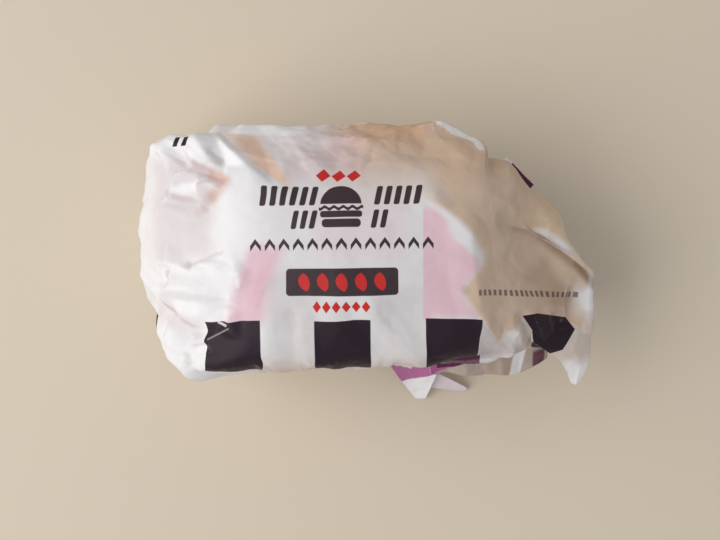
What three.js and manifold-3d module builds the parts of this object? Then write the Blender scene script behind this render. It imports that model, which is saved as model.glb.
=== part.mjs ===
// A chicken burger shut in its printed paper, lying on its side with the label up.
// Millimetres, +Z up, +X to the right of the label and +Y towards the top of the label.
// The paper can't be seen into, so the pack is one solid: a soft rounded parcel with folded ends, a front
// side closed by folded flaps, an ear of paper at one corner, and a curled strip and two tails that stick
// out of the closing folds.
import * as THREE from "three";
import { mergeVertices } from "three/addons/utils/BufferGeometryUtils.js";
import Module from "manifold-3d";

// Driving dimensions.
const HEIGHT = 66; // table to the flat of the label
const HALF_LENGTH = 67; // middle to the folded paper ends
const HALF_DEPTH = 36; // middle to the crown side
const FRONT_EDGE = 35.2; // middle to the edge of the label over the front side
const MIDDLE_Z = HEIGHT / 2; // widest level of the parcel, and where its rays start
const EDGE_SOFTNESS = 1.4; // rounding of the paper over the edges of the filling
const CELL = 3.3; // spacing of the surface points
const FLAT_FOOT = 0.7; // what comes this near the table lies on it
const PAPER = 0.8; // folded double paper of the loose flaps
const ORIGIN_SHIFT = [-0.21, 5.75, 0]; // parcel's middle to the middle of the whole with its tails

const wasm = await Module();
wasm.setup();

const radians = THREE.MathUtils.degToRad;
const clamp = THREE.MathUtils.clamp;
const fade = THREE.MathUtils.smoothstep;

// The filling and the drawn-in paper are held by faces: heading and rise of the outward normal in
// degrees, and a point that the face passes through.
const face = (heading, rise, through) => {
  const flat = Math.cos(radians(rise));
  const normal = [
    flat * Math.cos(radians(heading)),
    flat * Math.sin(radians(heading)),
    Math.sin(radians(rise)),
  ];
  const reach =
    normal[0] * through[0] + normal[1] * through[1] + normal[2] * (through[2] - MIDDLE_Z);
  return { normal, reach };
};

const RIGHT = 0;
const CROWN = 90;
const LEFT = 180;
const FRONT = 270;

const FACES = [
  // label side
  face(0, 90, [0, 0, HEIGHT]),
  face(LEFT, 78, [-16, 0, HEIGHT]),
  face(RIGHT, 82, [12, 0, HEIGHT]),
  // crown side, round like the top of a bun
  face(CROWN, 66, [0, 12, HEIGHT - 1.2]),
  face(CROWN, 42, [0, 24, 57]),
  face(CROWN, 18, [0, 33, 44.5]),
  face(CROWN, -6, [0, HALF_DEPTH, MIDDLE_Z]),
  face(94, 0, [-40, HALF_DEPTH - 3.2, MIDDLE_Z]),
  face(CROWN, -36, [0, 31.5, 12]),
  // front side, where the paper is closed: the label's edge stands out over a wall that leans in
  face(FRONT, 76, [0, -18, HEIGHT - 0.4]),
  face(FRONT, 44, [0, -32, 61]),
  face(FRONT, 4, [0, -FRONT_EDGE, 50]),
  face(FRONT, -9, [0, -FRONT_EDGE, 44]),
  face(FRONT, -42, [0, -30, 7]),
  // right end: a long slope off the filling, then the folded end
  face(RIGHT, 56, [28, 0, HEIGHT - 1.5]),
  face(RIGHT, 22, [HALF_LENGTH - 1.4, 0, 41]),
  face(RIGHT, -8, [HALF_LENGTH - 0.8, 0, MIDDLE_Z]),
  face(RIGHT, -46, [58, 0, 8]),
  // crown side drawn in round the right end
  face(60, 4, [27, 32, MIDDLE_Z]),
  face(47, 6, [49.9, 16.3, MIDDLE_Z]),
  face(33, 4, [59.8, 2.3, MIDDLE_Z]),
  face(48, 44, [40, 18, 55]),
  // left end: lower and blunter
  face(LEFT, 52, [-35, 0, HEIGHT - 4]),
  face(LEFT, 24, [-60.8, 0, 38]),
  face(LEFT, -4, [0.3 - HALF_LENGTH, 0, 24]),
  face(LEFT, -50, [-59, 0, 4]),
  // corners between the sides
  face(140, 8, [-61.3, 29.4, 38]),
  face(212, 8, [-57.4, -27, 27]),
  face(240, 6, [-50.2, -34.3, 30]),
  face(276, -6, [31, -31, 54]),
  face(316, 6, [64, -34.5, 30]),
  face(300, 44, [46, -26, 52]),
  face(225, -38, [-53, -29, 5]),
  face(135, -38, [-53, 27, 5]),
  face(45, -38, [46, 20, 5]),
  face(315, -38, [49, -29, 5]),
  face(0, -90, [0, 0, 0]),
];

// Folds of the paper. A ridge or valley is a straight fold: its ends, how far it lifts the paper and how
// far it spreads to each side. A lip is the edge of an upper layer, which stands up on its left-hand side.
const ridge = (from, to, lift, spread) => ({ from, to, lift, spread, lip: false });
const lip = (from, to, lift, spread) => ({ from, to, lift, spread, lip: true });

// Seen from above, as [x, y].
const TOP_FOLDS = [
  // upper left corner: rolled tuft, curved pinch beside it, facets and the pocket under the lifted edge
  ridge([-56.5, 26.5], [-56.5, 24.5], 3.4, 5.2),
  ridge([-54, 27.5], [-51, 24.5], -2.2, 2.6),
  ridge([-51, 24.5], [-50, 21], -2.6, 2.8),
  ridge([-47, 27], [-43, 23], 1.4, 4.2),
  ridge([-38.5, 26.5], [-38, 20.5], 1.6, 3.4),
  ridge([-41, 28], [-39.5, 23], -1.5, 2.6),
  ridge([-45.5, 23], [-38.5, 20.5], 2.0, 2.6),
  ridge([-46, 21], [-40, 17.5], -3.2, 3.6),
  ridge([-40, 17.5], [-37, 16], -2.6, 3.4),
  ridge([-38.5, 14.5], [-44, 8.5], -1.5, 3.4),
  ridge([-51.5, 19.5], [-43, 15.5], 2.4, 3.0),
  ridge([-52.5, 15], [-43, 15], 1.4, 2.4),
  ridge([-57.5, 16], [-47, 12.5], -1.7, 3.4),
  // left end: broad dents, the raised leaf-shaped fold, and the creases that run from it to the corner
  ridge([-54.5, 6.5], [-44.5, 2.5], -1.3, 7.5),
  ridge([-53, 1], [-52.5, -4.5], -1.2, 2.8),
  ridge([-52.5, -5], [-47, -6.5], 1.5, 2.4),
  ridge([-46.5, -6], [-43.5, -4.5], 1.3, 2.4),
  ridge([-43.5, -4.5], [-31.5, -9.5], 2.1, 3.2),
  ridge([-50.5, -10.5], [-40.5, -11], 1.2, 2.6),
  ridge([-31.5, -9.5], [-39, -14], 1.5, 2.4),
  ridge([-53, -5.5], [-55, -11.5], -2.0, 3.2),
  ridge([-51.5, -12], [-42, -13], -1.3, 2.6),
  ridge([-62, -12.5], [-56.5, -12.5], 2.0, 3.2),
  ridge([-56.5, -12.5], [-36.5, -20.5], 1.3, 5.0),
  ridge([-57.5, -15.5], [-52.5, -19.5], -2.4, 3.4),
  ridge([-52.5, -19.5], [-44, -23.5], -1.7, 3.2),
  ridge([-53.5, -22], [-43, -25.5], 1.7, 3.0),
  ridge([-33.5, -12.5], [-35.5, -22], 0.9, 3.2),
  ridge([-42.5, -25.5], [-35.5, -22.5], 1.5, 2.4),
  ridge([-42.5, -28.5], [-40.5, -28], -1.6, 1.8),
  ridge([-46.5, -27.5], [-48.5, -34.5], -1.5, 2.6),
  ridge([-50, -29], [-47.5, -36.5], 1.2, 3.2),
  // label: the edge of the upper layer, soft streaks, and dents between the printed squares
  lip([-26, 18], [-37, 28], 1.1, 4.5),
  ridge([-27.5, 26.5], [-24.5, 19], -0.7, 4),
  ridge([-17, 25.5], [-11, 20], 0.7, 3.6),
  ridge([-12, 28], [-7, 23], -0.6, 3.6),
  ridge([18, 31.5], [26, 24], 0.9, 4),
  ridge([-19, -20.5], [-18, -28], -0.5, 5),
  ridge([-16, -20.5], [-14, -33], 0.4, 4),
  ridge([-3, -19], [5.5, -31], -0.5, 4),
  ridge([3, -16.5], [14.5, -30.5], 0.6, 4.5),
  ridge([17.5, 12.5], [27, 2.5], 0.8, 5.5),
  ridge([27, 2.5], [30, -15], 0.8, 6),
  // right end: upper panel over the lower one, the bright folded edge, and the gathers above the flaps
  ridge([39, 6], [48.5, 4], -1.2, 4),
  lip([59.5, -4], [48.5, 4], 1.2, 6),
  lip([67.5, -9.5], [59.5, -4], 1.3, 6),
  ridge([61.5, -8.5], [64, -32], 1.8, 3.6),
  ridge([58.5, -12.5], [58, -22.5], -0.9, 3),
  ridge([32, -21], [36.5, -27.5], 0.9, 3.2),
  ridge([37.5, -27.5], [41, -21.5], 0.9, 3.2),
  ridge([42, -20], [47, -28], -1.4, 3),
  ridge([53.5, -20], [57, -26], -1.1, 3),
  ridge([49.5, -30], [56.5, -29.5], 1.0, 3),
];

// Seen from the front, as [x, z]: two side flaps folded over each other, then the closing flap, whose
// lower edge runs down to the strip and tails that stick out.
const FRONT_FOLDS = [
  lip([2, 13], [-46, 50], 2.6, 15),
  lip([-50, 14], [-14, 4], 1.6, 8),
  lip([34, 52], [-8, 24], 2.5, 13),
  lip([-8, 24], [16, 11], 2.5, 13),
  ridge([-30, 58], [-22, 40], -0.9, 5),
  ridge([8, 60], [2, 44], 0.9, 6),
  ridge([22, 30], [46, 24], -1, 6),
  ridge([-36, 26], [-20, 12], 0.9, 6),
  ridge([-56, 30], [-44, 22], -1.6, 5),
  ridge([58, 40], [46, 34], -1.4, 5),
];

// Seen from the crown side, as [x, z]: long folds that run out from the middle of the sheet.
const CROWN_FOLDS = [
  ridge([-12, 40], [-48, 54], 1.1, 7),
  ridge([-10, 28], [-56, 20], 1.2, 7),
  ridge([-18, 34], [-58, 37], -1.2, 7),
  ridge([16, 42], [36, 56], 0.9, 7),
  ridge([14, 26], [34, 8], 1.1, 7),
  ridge([4, 24], [6, 4], -0.9, 7),
  ridge([35.8, 58], [36.2, 14], -3.2, 3.4),
];

// Seen from the ends, as [y, z]: folds that gather the paper.
const END_FOLDS = [
  ridge([-26, 44], [4, 24], 1.8, 5),
  ridge([22, 50], [4, 24], 1.5, 5),
  ridge([-24, 12], [4, 24], -1.8, 5),
  ridge([24, 10], [4, 24], 1.5, 5),
  ridge([26, 30], [4, 24], -1.7, 5),
  ridge([-30, 28], [-6, 30], -1.3, 4.5),
];

// Height that one fold adds at a point of its own view. Folds narrower than the spacing of the points are
// widened and lowered, so that they stay smooth.
const LEAST_SPREAD = 2 * CELL;
const LIP_WIDTH = 0.55 * CELL;
function foldHeight(fold, a, b) {
  const runA = fold.to[0] - fold.from[0];
  const runB = fold.to[1] - fold.from[1];
  const run = Math.hypot(runA, runB);
  const fromA = a - fold.from[0];
  const fromB = b - fold.from[1];
  const along = (fromA * runA + fromB * runB) / run;
  const across = (runA * fromB - runB * fromA) / run;
  const past = Math.max(0, -along, along - run);
  const spread = Math.max(fold.spread, LEAST_SPREAD);
  const lift = (fold.lift * fold.spread) / spread;
  if (!fold.lip) {
    return lift * Math.max(0, 1 - Math.hypot(across, past) / spread);
  }
  const ends = Math.max(0, 1 - past / spread);
  const stand = fade(across, -LIP_WIDTH, LIP_WIDTH);
  return lift * ends * stand * Math.exp(-Math.max(0, across) / spread);
}

const sumOf = (folds, a, b) =>
  folds.reduce((sum, fold) => sum + foldHeight(fold, a, b), 0);

// Small crumples: straight folds in every direction, each a triangle wave across its own heading. The
// headings and offsets are spread by the golden ratio, so nothing is drawn at random.
const GOLDEN = 0.6180339887;
const CRUMPLES = 12;
function crumple(x, y, z) {
  let sum = 0;
  for (let k = 0; k < CRUMPLES; k++) {
    const up = 1 - (2 * (k + 0.5)) / CRUMPLES;
    const turn = 2 * Math.PI * ((k * GOLDEN) % 1);
    const flat = Math.sqrt(1 - up * up);
    const wave = 17 + 5 * (k % 6);
    const bent = x * flat * Math.cos(turn) + y * flat * Math.sin(turn) + z * up + 0.15 * sum * wave;
    const place = bent / wave + k * GOLDEN;
    sum += (Math.abs((place - Math.floor(place)) * 2 - 1) - 0.5) * wave * 0.024;
  }
  return sum;
}

// The faces joined softly: how far a point lies outside them, and the outward normal there.
function softFaces(x, y, z) {
  const up = z - MIDDLE_Z;
  const normal = new THREE.Vector3();
  let sum = 0;
  for (const { normal: n, reach } of FACES) {
    const weight = Math.exp((n[0] * x + n[1] * y + n[2] * up - reach) / EDGE_SOFTNESS);
    normal.add(new THREE.Vector3(...n).multiplyScalar(weight));
    sum += weight;
  }
  return { over: EDGE_SOFTNESS * Math.log(sum), normal: normal.normalize() };
}

// How far the folds lift the paper at a point of the soft faces.
function relief(x, y, z, normal) {
  const onTop = fade(normal.z, 0.05, 0.45);
  const onFront = fade(-normal.y, 0.35, 0.75);
  const onCrown = fade(normal.y, 0.35, 0.75);
  const onEnd = fade(Math.abs(normal.x), 0.5, 0.85) * (1 - fade(normal.z, 0.1, 0.45));
  const offLabel = 0.3 + 0.7 * Math.max(fade(Math.abs(x), 32, 50), 1 - fade(z, 44, 60));
  const folds =
    onTop * sumOf(TOP_FOLDS, x, y) +
    onFront * sumOf(FRONT_FOLDS, x, z) +
    onCrown * sumOf(CROWN_FOLDS, x, z) +
    onEnd * sumOf(END_FOLDS, x < 0 ? y : 6 - y, z) +
    offLabel * crumple(x, y, z);
  return folds * fade(z, 0.5, 9);
}

// Where a ray from the middle of the parcel leaves the soft faces, moved along the ray by the folds.
const RAY_REACH = 110;
const RAY_STEPS = 26;
function surfacePoint(direction) {
  let near = 5;
  let far = RAY_REACH;
  for (let step = 0; step < RAY_STEPS; step++) {
    const middle = (near + far) / 2;
    const z = MIDDLE_Z + direction.z * middle;
    if (softFaces(direction.x * middle, direction.y * middle, z).over > 0) far = middle;
    else near = middle;
  }
  const spot = direction.clone().multiplyScalar(near);
  spot.z += MIDDLE_Z;
  const { normal } = softFaces(spot.x, spot.y, spot.z);
  const lift = relief(spot.x, spot.y, spot.z, normal) / Math.max(0.6, direction.dot(normal));
  spot.addScaledVector(direction, lift);
  return [spot.x, spot.y, spot.z < FLAT_FOOT ? 0 : spot.z];
}

function solidFrom(geometry) {
  geometry.deleteAttribute("normal");
  geometry.deleteAttribute("uv");
  const merged = mergeVertices(geometry, 1e-3);
  return new wasm.Manifold(
    new wasm.Mesh({
      numProp: 3,
      vertProperties: merged.attributes.position.array,
      triVerts: new Uint32Array(merged.index.array),
    }),
  );
}

// The parcel: a box's surface points sent out along rays to the paper.
function parcel() {
  const length = 2 * HALF_LENGTH;
  const depth = 2 * HALF_DEPTH;
  const box = new THREE.BoxGeometry(
    length,
    depth,
    HEIGHT,
    Math.round(length / CELL),
    Math.round(depth / CELL),
    Math.round(HEIGHT / CELL),
  );
  const spots = box.attributes.position;
  const ray = new THREE.Vector3();
  for (let i = 0; i < spots.count; i++) {
    ray.fromBufferAttribute(spots, i).normalize();
    spots.setXYZ(i, ...surfacePoint(ray));
  }
  return solidFrom(box);
}

// A loose flap: a thin wavy sheet over a grid, both faces split alike, with its rim closed.
// middle(u, v) gives the point of its middle surface.
function flap(middle, columns, rows) {
  const at = (u, v) => new THREE.Vector3(...middle(clamp(u, 0, 1), clamp(v, 0, 1)));
  const spots = [];
  const step = 1e-3;
  for (const side of [0.5, -0.5]) {
    for (let row = 0; row <= rows; row++) {
      for (let column = 0; column <= columns; column++) {
        const u = column / columns;
        const v = row / rows;
        const alongU = at(u + step, v).sub(at(u - step, v));
        const alongV = at(u, v + step).sub(at(u, v - step));
        const normal = alongU.cross(alongV).normalize();
        spots.push(...at(u, v).addScaledVector(normal, side * PAPER).toArray());
      }
    }
  }
  const wide = columns + 1;
  const layer = wide * (rows + 1);
  const faces = [];
  for (let row = 0; row < rows; row++) {
    for (let column = 0; column < columns; column++) {
      const a = row * wide + column;
      const [b, c, d] = [a + 1, a + wide + 1, a + wide];
      faces.push(a, b, c, a, c, d);
      faces.push(layer + a, layer + c, layer + b, layer + a, layer + d, layer + c);
    }
  }
  const rim = [];
  for (let column = 0; column < columns; column++) rim.push(column);
  for (let row = 0; row < rows; row++) rim.push(row * wide + columns);
  for (let column = columns; column > 0; column--) rim.push(rows * wide + column);
  for (let row = rows; row > 0; row--) rim.push(row * wide);
  rim.forEach((spot, i) => {
    const next = rim[(i + 1) % rim.length];
    faces.push(spot, layer + spot, layer + next, spot, layer + next, next);
  });
  const geometry = new THREE.BufferGeometry();
  geometry.setAttribute("position", new THREE.Float32BufferAttribute(spots, 3));
  geometry.setIndex(faces);
  return solidFrom(geometry);
}

const mix = (a, b, share) => a + (b - a) * share;
const wave = (turns) => Math.sin(2 * Math.PI * turns);
const between = (share, stops, values) => {
  const next = Math.max(1, stops.findIndex((stop) => stop >= share));
  return mix(values[next - 1], values[next], (share - stops[next - 1]) / (stops[next] - stops[next - 1]));
};
const pleat = (turns) => Math.abs((turns - Math.floor(turns)) * 2 - 1) - 0.5;

// The ear at the front right corner: the slope of the right end runs on into it, and it narrows to a tip
// that hangs forward.
const EAR_TIP_Z = 24;
const ear = flap(
  (u, v) => {
    const left = between(v, [0, 0.3, 0.48, 0.57, 0.76, 1], [46, 46, 52, 55.3, 58.7, 62]);
    const right = between(v, [0, 0.3, 0.55, 0.75, 1], [64, 64.8, 65.2, 64.8, 63.8]);
    const x = mix(left, right, u);
    const slope = 49.7 - 0.67 * (x - 50) - 0.1 * Math.max(0, x - 60) ** 1.5;
    const crease = 1.2 * v * Math.max(0, 1 - Math.abs(u - 0.62) / 0.5);
    const root = 1.6 * Math.max(0, 1 - v / 0.16);
    return [x, mix(-20, -40.8, v), mix(slope, EAR_TIP_Z, v ** 2.6) + crease - root];
  },
  10,
  13,
);

// The curled strip: the hem of the closing flap, turned out along the front under the label's edge.
const strip = flap(
  (u, v) => {
    const reach = 6.5 + 3 * Math.sin(Math.PI * u ** 1.6);
    return [
      mix(18, 52, u) + 1.2 * v,
      mix(-30, -26, u) - reach * v + 0.4 * wave(u * 2.4) * v,
      mix(46, 43, u) - v * mix(8, 9, u) + 2.2 * pleat(u * 3.3) * v,
    ];
  },
  14,
  5,
);

// The corner of the sheet that sticks out under the strip: a long tail, and a short one turned aside.
const longTail = flap(
  (u, v) => {
    const x = mix(mix(5.5, 25, u), mix(17, 20, u), v ** 1.25);
    const height = mix(27, 1.1, v ** 0.75) + 0.9 * Math.sin(x * 0.35) * v;
    return [x, mix(-31, -47.8, v ** 1.1), height + 2.2 * (1 - v) * (2 * u - 1) ** 2];
  },
  7,
  9,
);
const shortTail = flap(
  (u, v) => {
    const half = 2.6 * (1 - v) ** 0.7 + 0.35;
    return [
      mix(18.5, 33.2, v) + (u - 0.5) * half * 0.6,
      mix(-40.2, -44.8, v) + (u - 0.5) * 2 * half,
      mix(9.8 + 7.6 * (u - 0.5), 1.3 + 1.2 * (u - 0.5), v ** 0.6) + 1.5 * v * (1 - v),
    ];
  },
  5,
  9,
);

// A narrow hem of the lower layer that shows past the crown side near the right end.
const hem = flap(
  (u, v) => [mix(38.5, 46.5, u) + 3.1 * v, mix(22.5, 14.5, u) + 3.4 * v, 33.5 + 0.6 * wave(u) - 1.2 * v],
  5,
  2,
);

const flaps = [ear, strip, longTail, shortTail, hem];
const pack = flaps.reduce((solid, loose) => solid.add(loose), parcel());

// Back to three.js, with each face flat.
function geometryOf(solid) {
  const mesh = solid.getMesh();
  const geometry = new THREE.BufferGeometry();
  geometry.setAttribute("position", new THREE.BufferAttribute(mesh.vertProperties, 3));
  geometry.setIndex(new THREE.BufferAttribute(mesh.triVerts, 1));
  const flat = geometry.toNonIndexed();
  flat.computeVertexNormals();
  return flat;
}

const printedPaper = new THREE.MeshStandardMaterial({
  color: 0xe9e4e2,
  roughness: 0.62,
  metalness: 0,
});

const wrappedBurger = new THREE.Mesh(geometryOf(pack), printedPaper);
wrappedBurger.name = "wrapped_burger";
wrappedBurger.position.set(...ORIGIN_SHIFT);

const root = new THREE.Group();
root.add(wrappedBurger);
export default root;
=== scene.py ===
# %% [markdown]
# # A chicken burger shut in its printed paper
# The parcel lies on its side with the label up. A sheet of thin greaseproof paper is wound round the
# burger, its ends are folded in, and its closing folds are at the front, where a curled hem and two paper
# tails stick out. The lesson makes the paper first, from the large folds down to the fine crinkle, and
# then prints and stains it with shader maths.

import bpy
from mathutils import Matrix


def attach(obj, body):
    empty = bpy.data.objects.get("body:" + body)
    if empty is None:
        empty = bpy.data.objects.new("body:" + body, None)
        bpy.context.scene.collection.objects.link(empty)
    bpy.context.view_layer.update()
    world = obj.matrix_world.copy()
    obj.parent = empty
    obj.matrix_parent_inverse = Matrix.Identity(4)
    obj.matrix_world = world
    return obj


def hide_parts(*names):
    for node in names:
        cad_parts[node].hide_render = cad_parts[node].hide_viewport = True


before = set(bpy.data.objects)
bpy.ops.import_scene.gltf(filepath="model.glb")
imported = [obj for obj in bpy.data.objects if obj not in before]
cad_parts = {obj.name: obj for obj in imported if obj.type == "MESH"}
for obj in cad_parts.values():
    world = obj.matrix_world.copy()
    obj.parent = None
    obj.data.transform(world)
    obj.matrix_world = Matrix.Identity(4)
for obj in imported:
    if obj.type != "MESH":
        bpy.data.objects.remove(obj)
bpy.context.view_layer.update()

# %% Libraries
import math
from types import SimpleNamespace

import bmesh
import bpy
import numpy as np
from mathutils import Vector
from mathutils.bvhtree import BVHTree
from mathutils.geometry import delaunay_2d_cdt

MM = 0.001
NODE = "wrapped_burger"

# %% [markdown]
# ## The form under the paper
# A wrapped burger has no true edges, yet its paper lies in broad soft planes: the flat of the label, the
# round crown, a long slope down to the folded end. Sculpting would give that form once, and a row of loft
# sections would smooth it out. Here each broad plane is named by its heading and rise, and the planes are
# joined by a soft maximum, which rounds the paper over every edge alike. Lengths are in millimetres.

# %% Faces of the parcel
HEIGHT = 66
HALF_LENGTH = 67
HALF_DEPTH = 36
FRONT_EDGE = 35.2
MIDDLE_Z = HEIGHT / 2
EDGE_SOFTNESS = 1.4
ORIGIN_SHIFT = np.array([-0.21, 5.75, 0])
RIGHT = 0
CROWN = 90
LEFT = 180
FRONT = 270


def face(heading, rise, through):
    """Outward normal of a face from its heading and rise in degrees, and how far out it lies."""
    turn = math.radians(heading)
    lift = math.radians(rise)
    normal = np.array([math.cos(lift) * math.cos(turn), math.cos(lift) * math.sin(turn), math.sin(lift)])
    return normal, normal @ (np.array(through) - [0, 0, MIDDLE_Z])


FACES = [
    # label side
    face(0, 90, [0, 0, HEIGHT]),
    face(LEFT, 78, [-16, 0, HEIGHT]),
    face(RIGHT, 82, [12, 0, HEIGHT]),
    # crown side
    face(CROWN, 66, [0, 12, HEIGHT - 1.2]),
    face(CROWN, 42, [0, 24, 57]),
    face(CROWN, 18, [0, 33, 44.5]),
    face(CROWN, -6, [0, HALF_DEPTH, MIDDLE_Z]),
    face(94, 0, [-40, HALF_DEPTH - 3.2, MIDDLE_Z]),
    face(CROWN, -36, [0, 31.5, 12]),
    # front side
    face(FRONT, 76, [0, -18, HEIGHT - 0.4]),
    face(FRONT, 44, [0, -32, 61]),
    face(FRONT, 4, [0, -FRONT_EDGE, 50]),
    face(FRONT, -9, [0, -FRONT_EDGE, 44]),
    face(FRONT, -42, [0, -30, 7]),
    # right end
    face(RIGHT, 56, [28, 0, HEIGHT - 1.5]),
    face(RIGHT, 22, [HALF_LENGTH - 1.4, 0, 41]),
    face(RIGHT, -8, [HALF_LENGTH - 0.8, 0, MIDDLE_Z]),
    face(RIGHT, -46, [58, 0, 8]),
    face(60, 4, [27, 32, MIDDLE_Z]),
    face(47, 6, [49.9, 16.3, MIDDLE_Z]),
    face(33, 4, [59.8, 2.3, MIDDLE_Z]),
    face(48, 44, [40, 18, 55]),
    # left end
    face(LEFT, 52, [-35, 0, HEIGHT - 4]),
    face(LEFT, 24, [-60.8, 0, 38]),
    face(LEFT, -4, [0.3 - HALF_LENGTH, 0, 24]),
    face(LEFT, -50, [-59, 0, 4]),
    # corners and base
    face(140, 8, [-61.3, 29.4, 38]),
    face(212, 8, [-57.4, -27, 27]),
    face(240, 6, [-50.2, -34.3, 30]),
    face(276, -6, [31, -31, 54]),
    face(316, 6, [64, -34.5, 30]),
    face(300, 44, [46, -26, 52]),
    face(225, -38, [-53, -29, 5]),
    face(135, -38, [-53, 27, 5]),
    face(45, -38, [46, 20, 5]),
    face(315, -38, [49, -29, 5]),
    face(0, -90, [0, 0, 0]),
]
NORMALS = np.array([normal for normal, reach in FACES])
REACHES = np.array([reach for normal, reach in FACES])


def soft_faces(spots):
    """How far spots lie outside the joined faces, and the outward normals there."""
    over = (spots - [0, 0, MIDDLE_Z]) @ NORMALS.T - REACHES
    top = over.max(axis=1, keepdims=True)
    weights = np.exp((over - top) / EDGE_SOFTNESS)
    total = weights.sum(axis=1)
    outside = top[:, 0] + EDGE_SOFTNESS * np.log(total)
    normals = weights @ NORMALS
    return outside, normals / total[:, None]


print(len(FACES), "faces hold the form")

# %% [markdown]
# ## A grid that covers the parcel
# Paper needs small even cells everywhere, and a ball's grid would crowd them at its poles. A box's surface
# grid has no poles, so each of its points is sent out from the middle of the parcel until it meets the
# soft faces. Newton's steps find the place in a few rounds, because the faces are straight.

# %% Grid and rays
PARCEL_CELLS = np.array([0.62, 0.62, 1.15])
FAR_OUT = 110
NEWTON_STEPS = 12
SAME_PLACE = 2**16


def box_grid(cells):
    """Points of a box's surface grid, measured from its middle, and the quads between them."""
    box = np.array([2 * HALF_LENGTH, 2 * HALF_DEPTH, HEIGHT])
    counts = np.round(box / cells).astype(int)
    spots = []
    quads = []
    made = 0
    for axis in range(3):
        first = (axis + 1) % 3
        second = (axis + 2) % 3
        a = np.linspace(-0.5, 0.5, counts[first] + 1)
        b = np.linspace(-0.5, 0.5, counts[second] + 1)
        for side in (-0.5, 0.5):
            grid = np.zeros((len(a), len(b), 3))
            grid[..., first] = a[:, None]
            grid[..., second] = b[None, :]
            grid[..., axis] = side
            index = made + np.arange(grid[..., 0].size).reshape(len(a), len(b))
            corners = [index[:-1, :-1], index[1:, :-1], index[1:, 1:], index[:-1, 1:]]
            if side < 0:
                corners.reverse()
            quads.append(np.stack(corners, -1).reshape(-1, 4))
            spots.append(grid.reshape(-1, 3))
            made += grid[..., 0].size
    spots = np.concatenate(spots)
    keys = np.round(spots * SAME_PLACE).astype(int)
    _, kept, places = np.unique(keys, axis=0, return_index=True, return_inverse=True)
    return spots[kept] * box, places.reshape(-1)[np.concatenate(quads)]


def send_out(rays):
    """Where rays from the middle leave the soft faces, and the normals there."""
    reach = np.full(len(rays), float(FAR_OUT))
    middle = np.array([0, 0, MIDDLE_Z])
    for _ in range(NEWTON_STEPS):
        outside, normals = soft_faces(middle + rays * reach[:, None])
        reach -= outside / np.einsum("ij,ij->i", normals, rays)
    spots = middle + rays * reach[:, None]
    normals = soft_faces(spots)[1]
    return spots, normals / np.linalg.norm(normals, axis=1, keepdims=True)


grid_spots, parcel_quads = box_grid(PARCEL_CELLS)
rays = grid_spots / np.linalg.norm(grid_spots, axis=1, keepdims=True)
base_spots, base_normals = send_out(rays)
print(len(rays), "points and", len(parcel_quads), "quads on the parcel")

# %% [markdown]
# ## Large folds
# The folds of the sheet are straight, because paper bends only one way at a time. Each is written down as
# its two ends, its lift and its spread, in the view where it is seen best: from above for the label side,
# from the front for the closing flaps, and so on. A ridge is a sharp tent, a negative lift makes it a
# valley, and a lip is the edge of an upper layer that stands over the next one.

# %% Folds as ridges and lips
LIP_WIDTH = 0.75


def ridge(start, end, lift, spread):
    return start, end, lift, spread, False


def lip(start, end, lift, spread):
    return start, end, lift, spread, True


def fade(value, low, high):
    """0 up to low, 1 from high, and a smooth rise between them."""
    share = np.clip((value - low) / (high - low), 0, 1)
    return share * share * (3 - 2 * share)


def fold_height(fold, a, b):
    """What one fold adds at the points (a, b) of its view."""
    start, end, lift, spread, is_lip = fold
    run_a = end[0] - start[0]
    run_b = end[1] - start[1]
    run = math.hypot(run_a, run_b)
    along = ((a - start[0]) * run_a + (b - start[1]) * run_b) / run
    across = (run_a * (b - start[1]) - run_b * (a - start[0])) / run
    past = np.maximum(0, np.maximum(-along, along - run))
    if not is_lip:
        return lift * np.maximum(0, 1 - np.hypot(across, past) / spread)
    ends = np.maximum(0, 1 - past / spread)
    stand = fade(across, -LIP_WIDTH, LIP_WIDTH)
    return lift * ends * stand * np.exp(-np.maximum(0, across) / spread)


def heights(folds, a, b):
    return sum(fold_height(fold, a, b) for fold in folds)


# %% The folds of the label side, seen from above
TOP_FOLDS = [
    # label: the edge of the upper layer, soft streaks, and dents between the printed squares
    lip([-26, 18], [-37, 28], 1.1, 4.5),
    ridge([-27.5, 26.5], [-24.5, 19], -0.7, 4),
    ridge([-17, 25.5], [-11, 20], 0.7, 3.6),
    ridge([-12, 28], [-7, 23], -0.6, 3.6),
    ridge([18, 31.5], [26, 24], 0.9, 4),
    ridge([-19, -20.5], [-18, -28], -0.5, 5),
    ridge([-16, -20.5], [-14, -33], 0.4, 4),
    ridge([-3, -19], [5.5, -31], -0.5, 4),
    ridge([3, -16.5], [14.5, -30.5], 0.6, 4.5),
    ridge([17.5, 12.5], [27, 2.5], 0.8, 5.5),
    ridge([27, 2.5], [30, -15], 0.8, 6),
    # right end: upper panel over the lower one, the bright folded edge, the gathers above the flaps
    ridge([39, 6], [48.5, 4], -1.2, 4),
    lip([59.5, -4], [48.5, 4], 1.2, 6),
    lip([67.5, -9.5], [59.5, -4], 1.3, 6),
    ridge([61.5, -8.5], [64, -32], 1.8, 3.6),
    ridge([58.5, -12.5], [58, -22.5], -0.9, 3),
    ridge([32, -21], [36.5, -27.5], 0.9, 3.2),
    ridge([37.5, -27.5], [41, -21.5], 0.9, 3.2),
    ridge([42, -20], [47, -28], -1.4, 3),
    ridge([53.5, -20], [57, -26], -1.1, 3),
    ridge([49.5, -30], [56.5, -29.5], 1.0, 3),
]
print(len(TOP_FOLDS), "folds on the label side")

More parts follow.
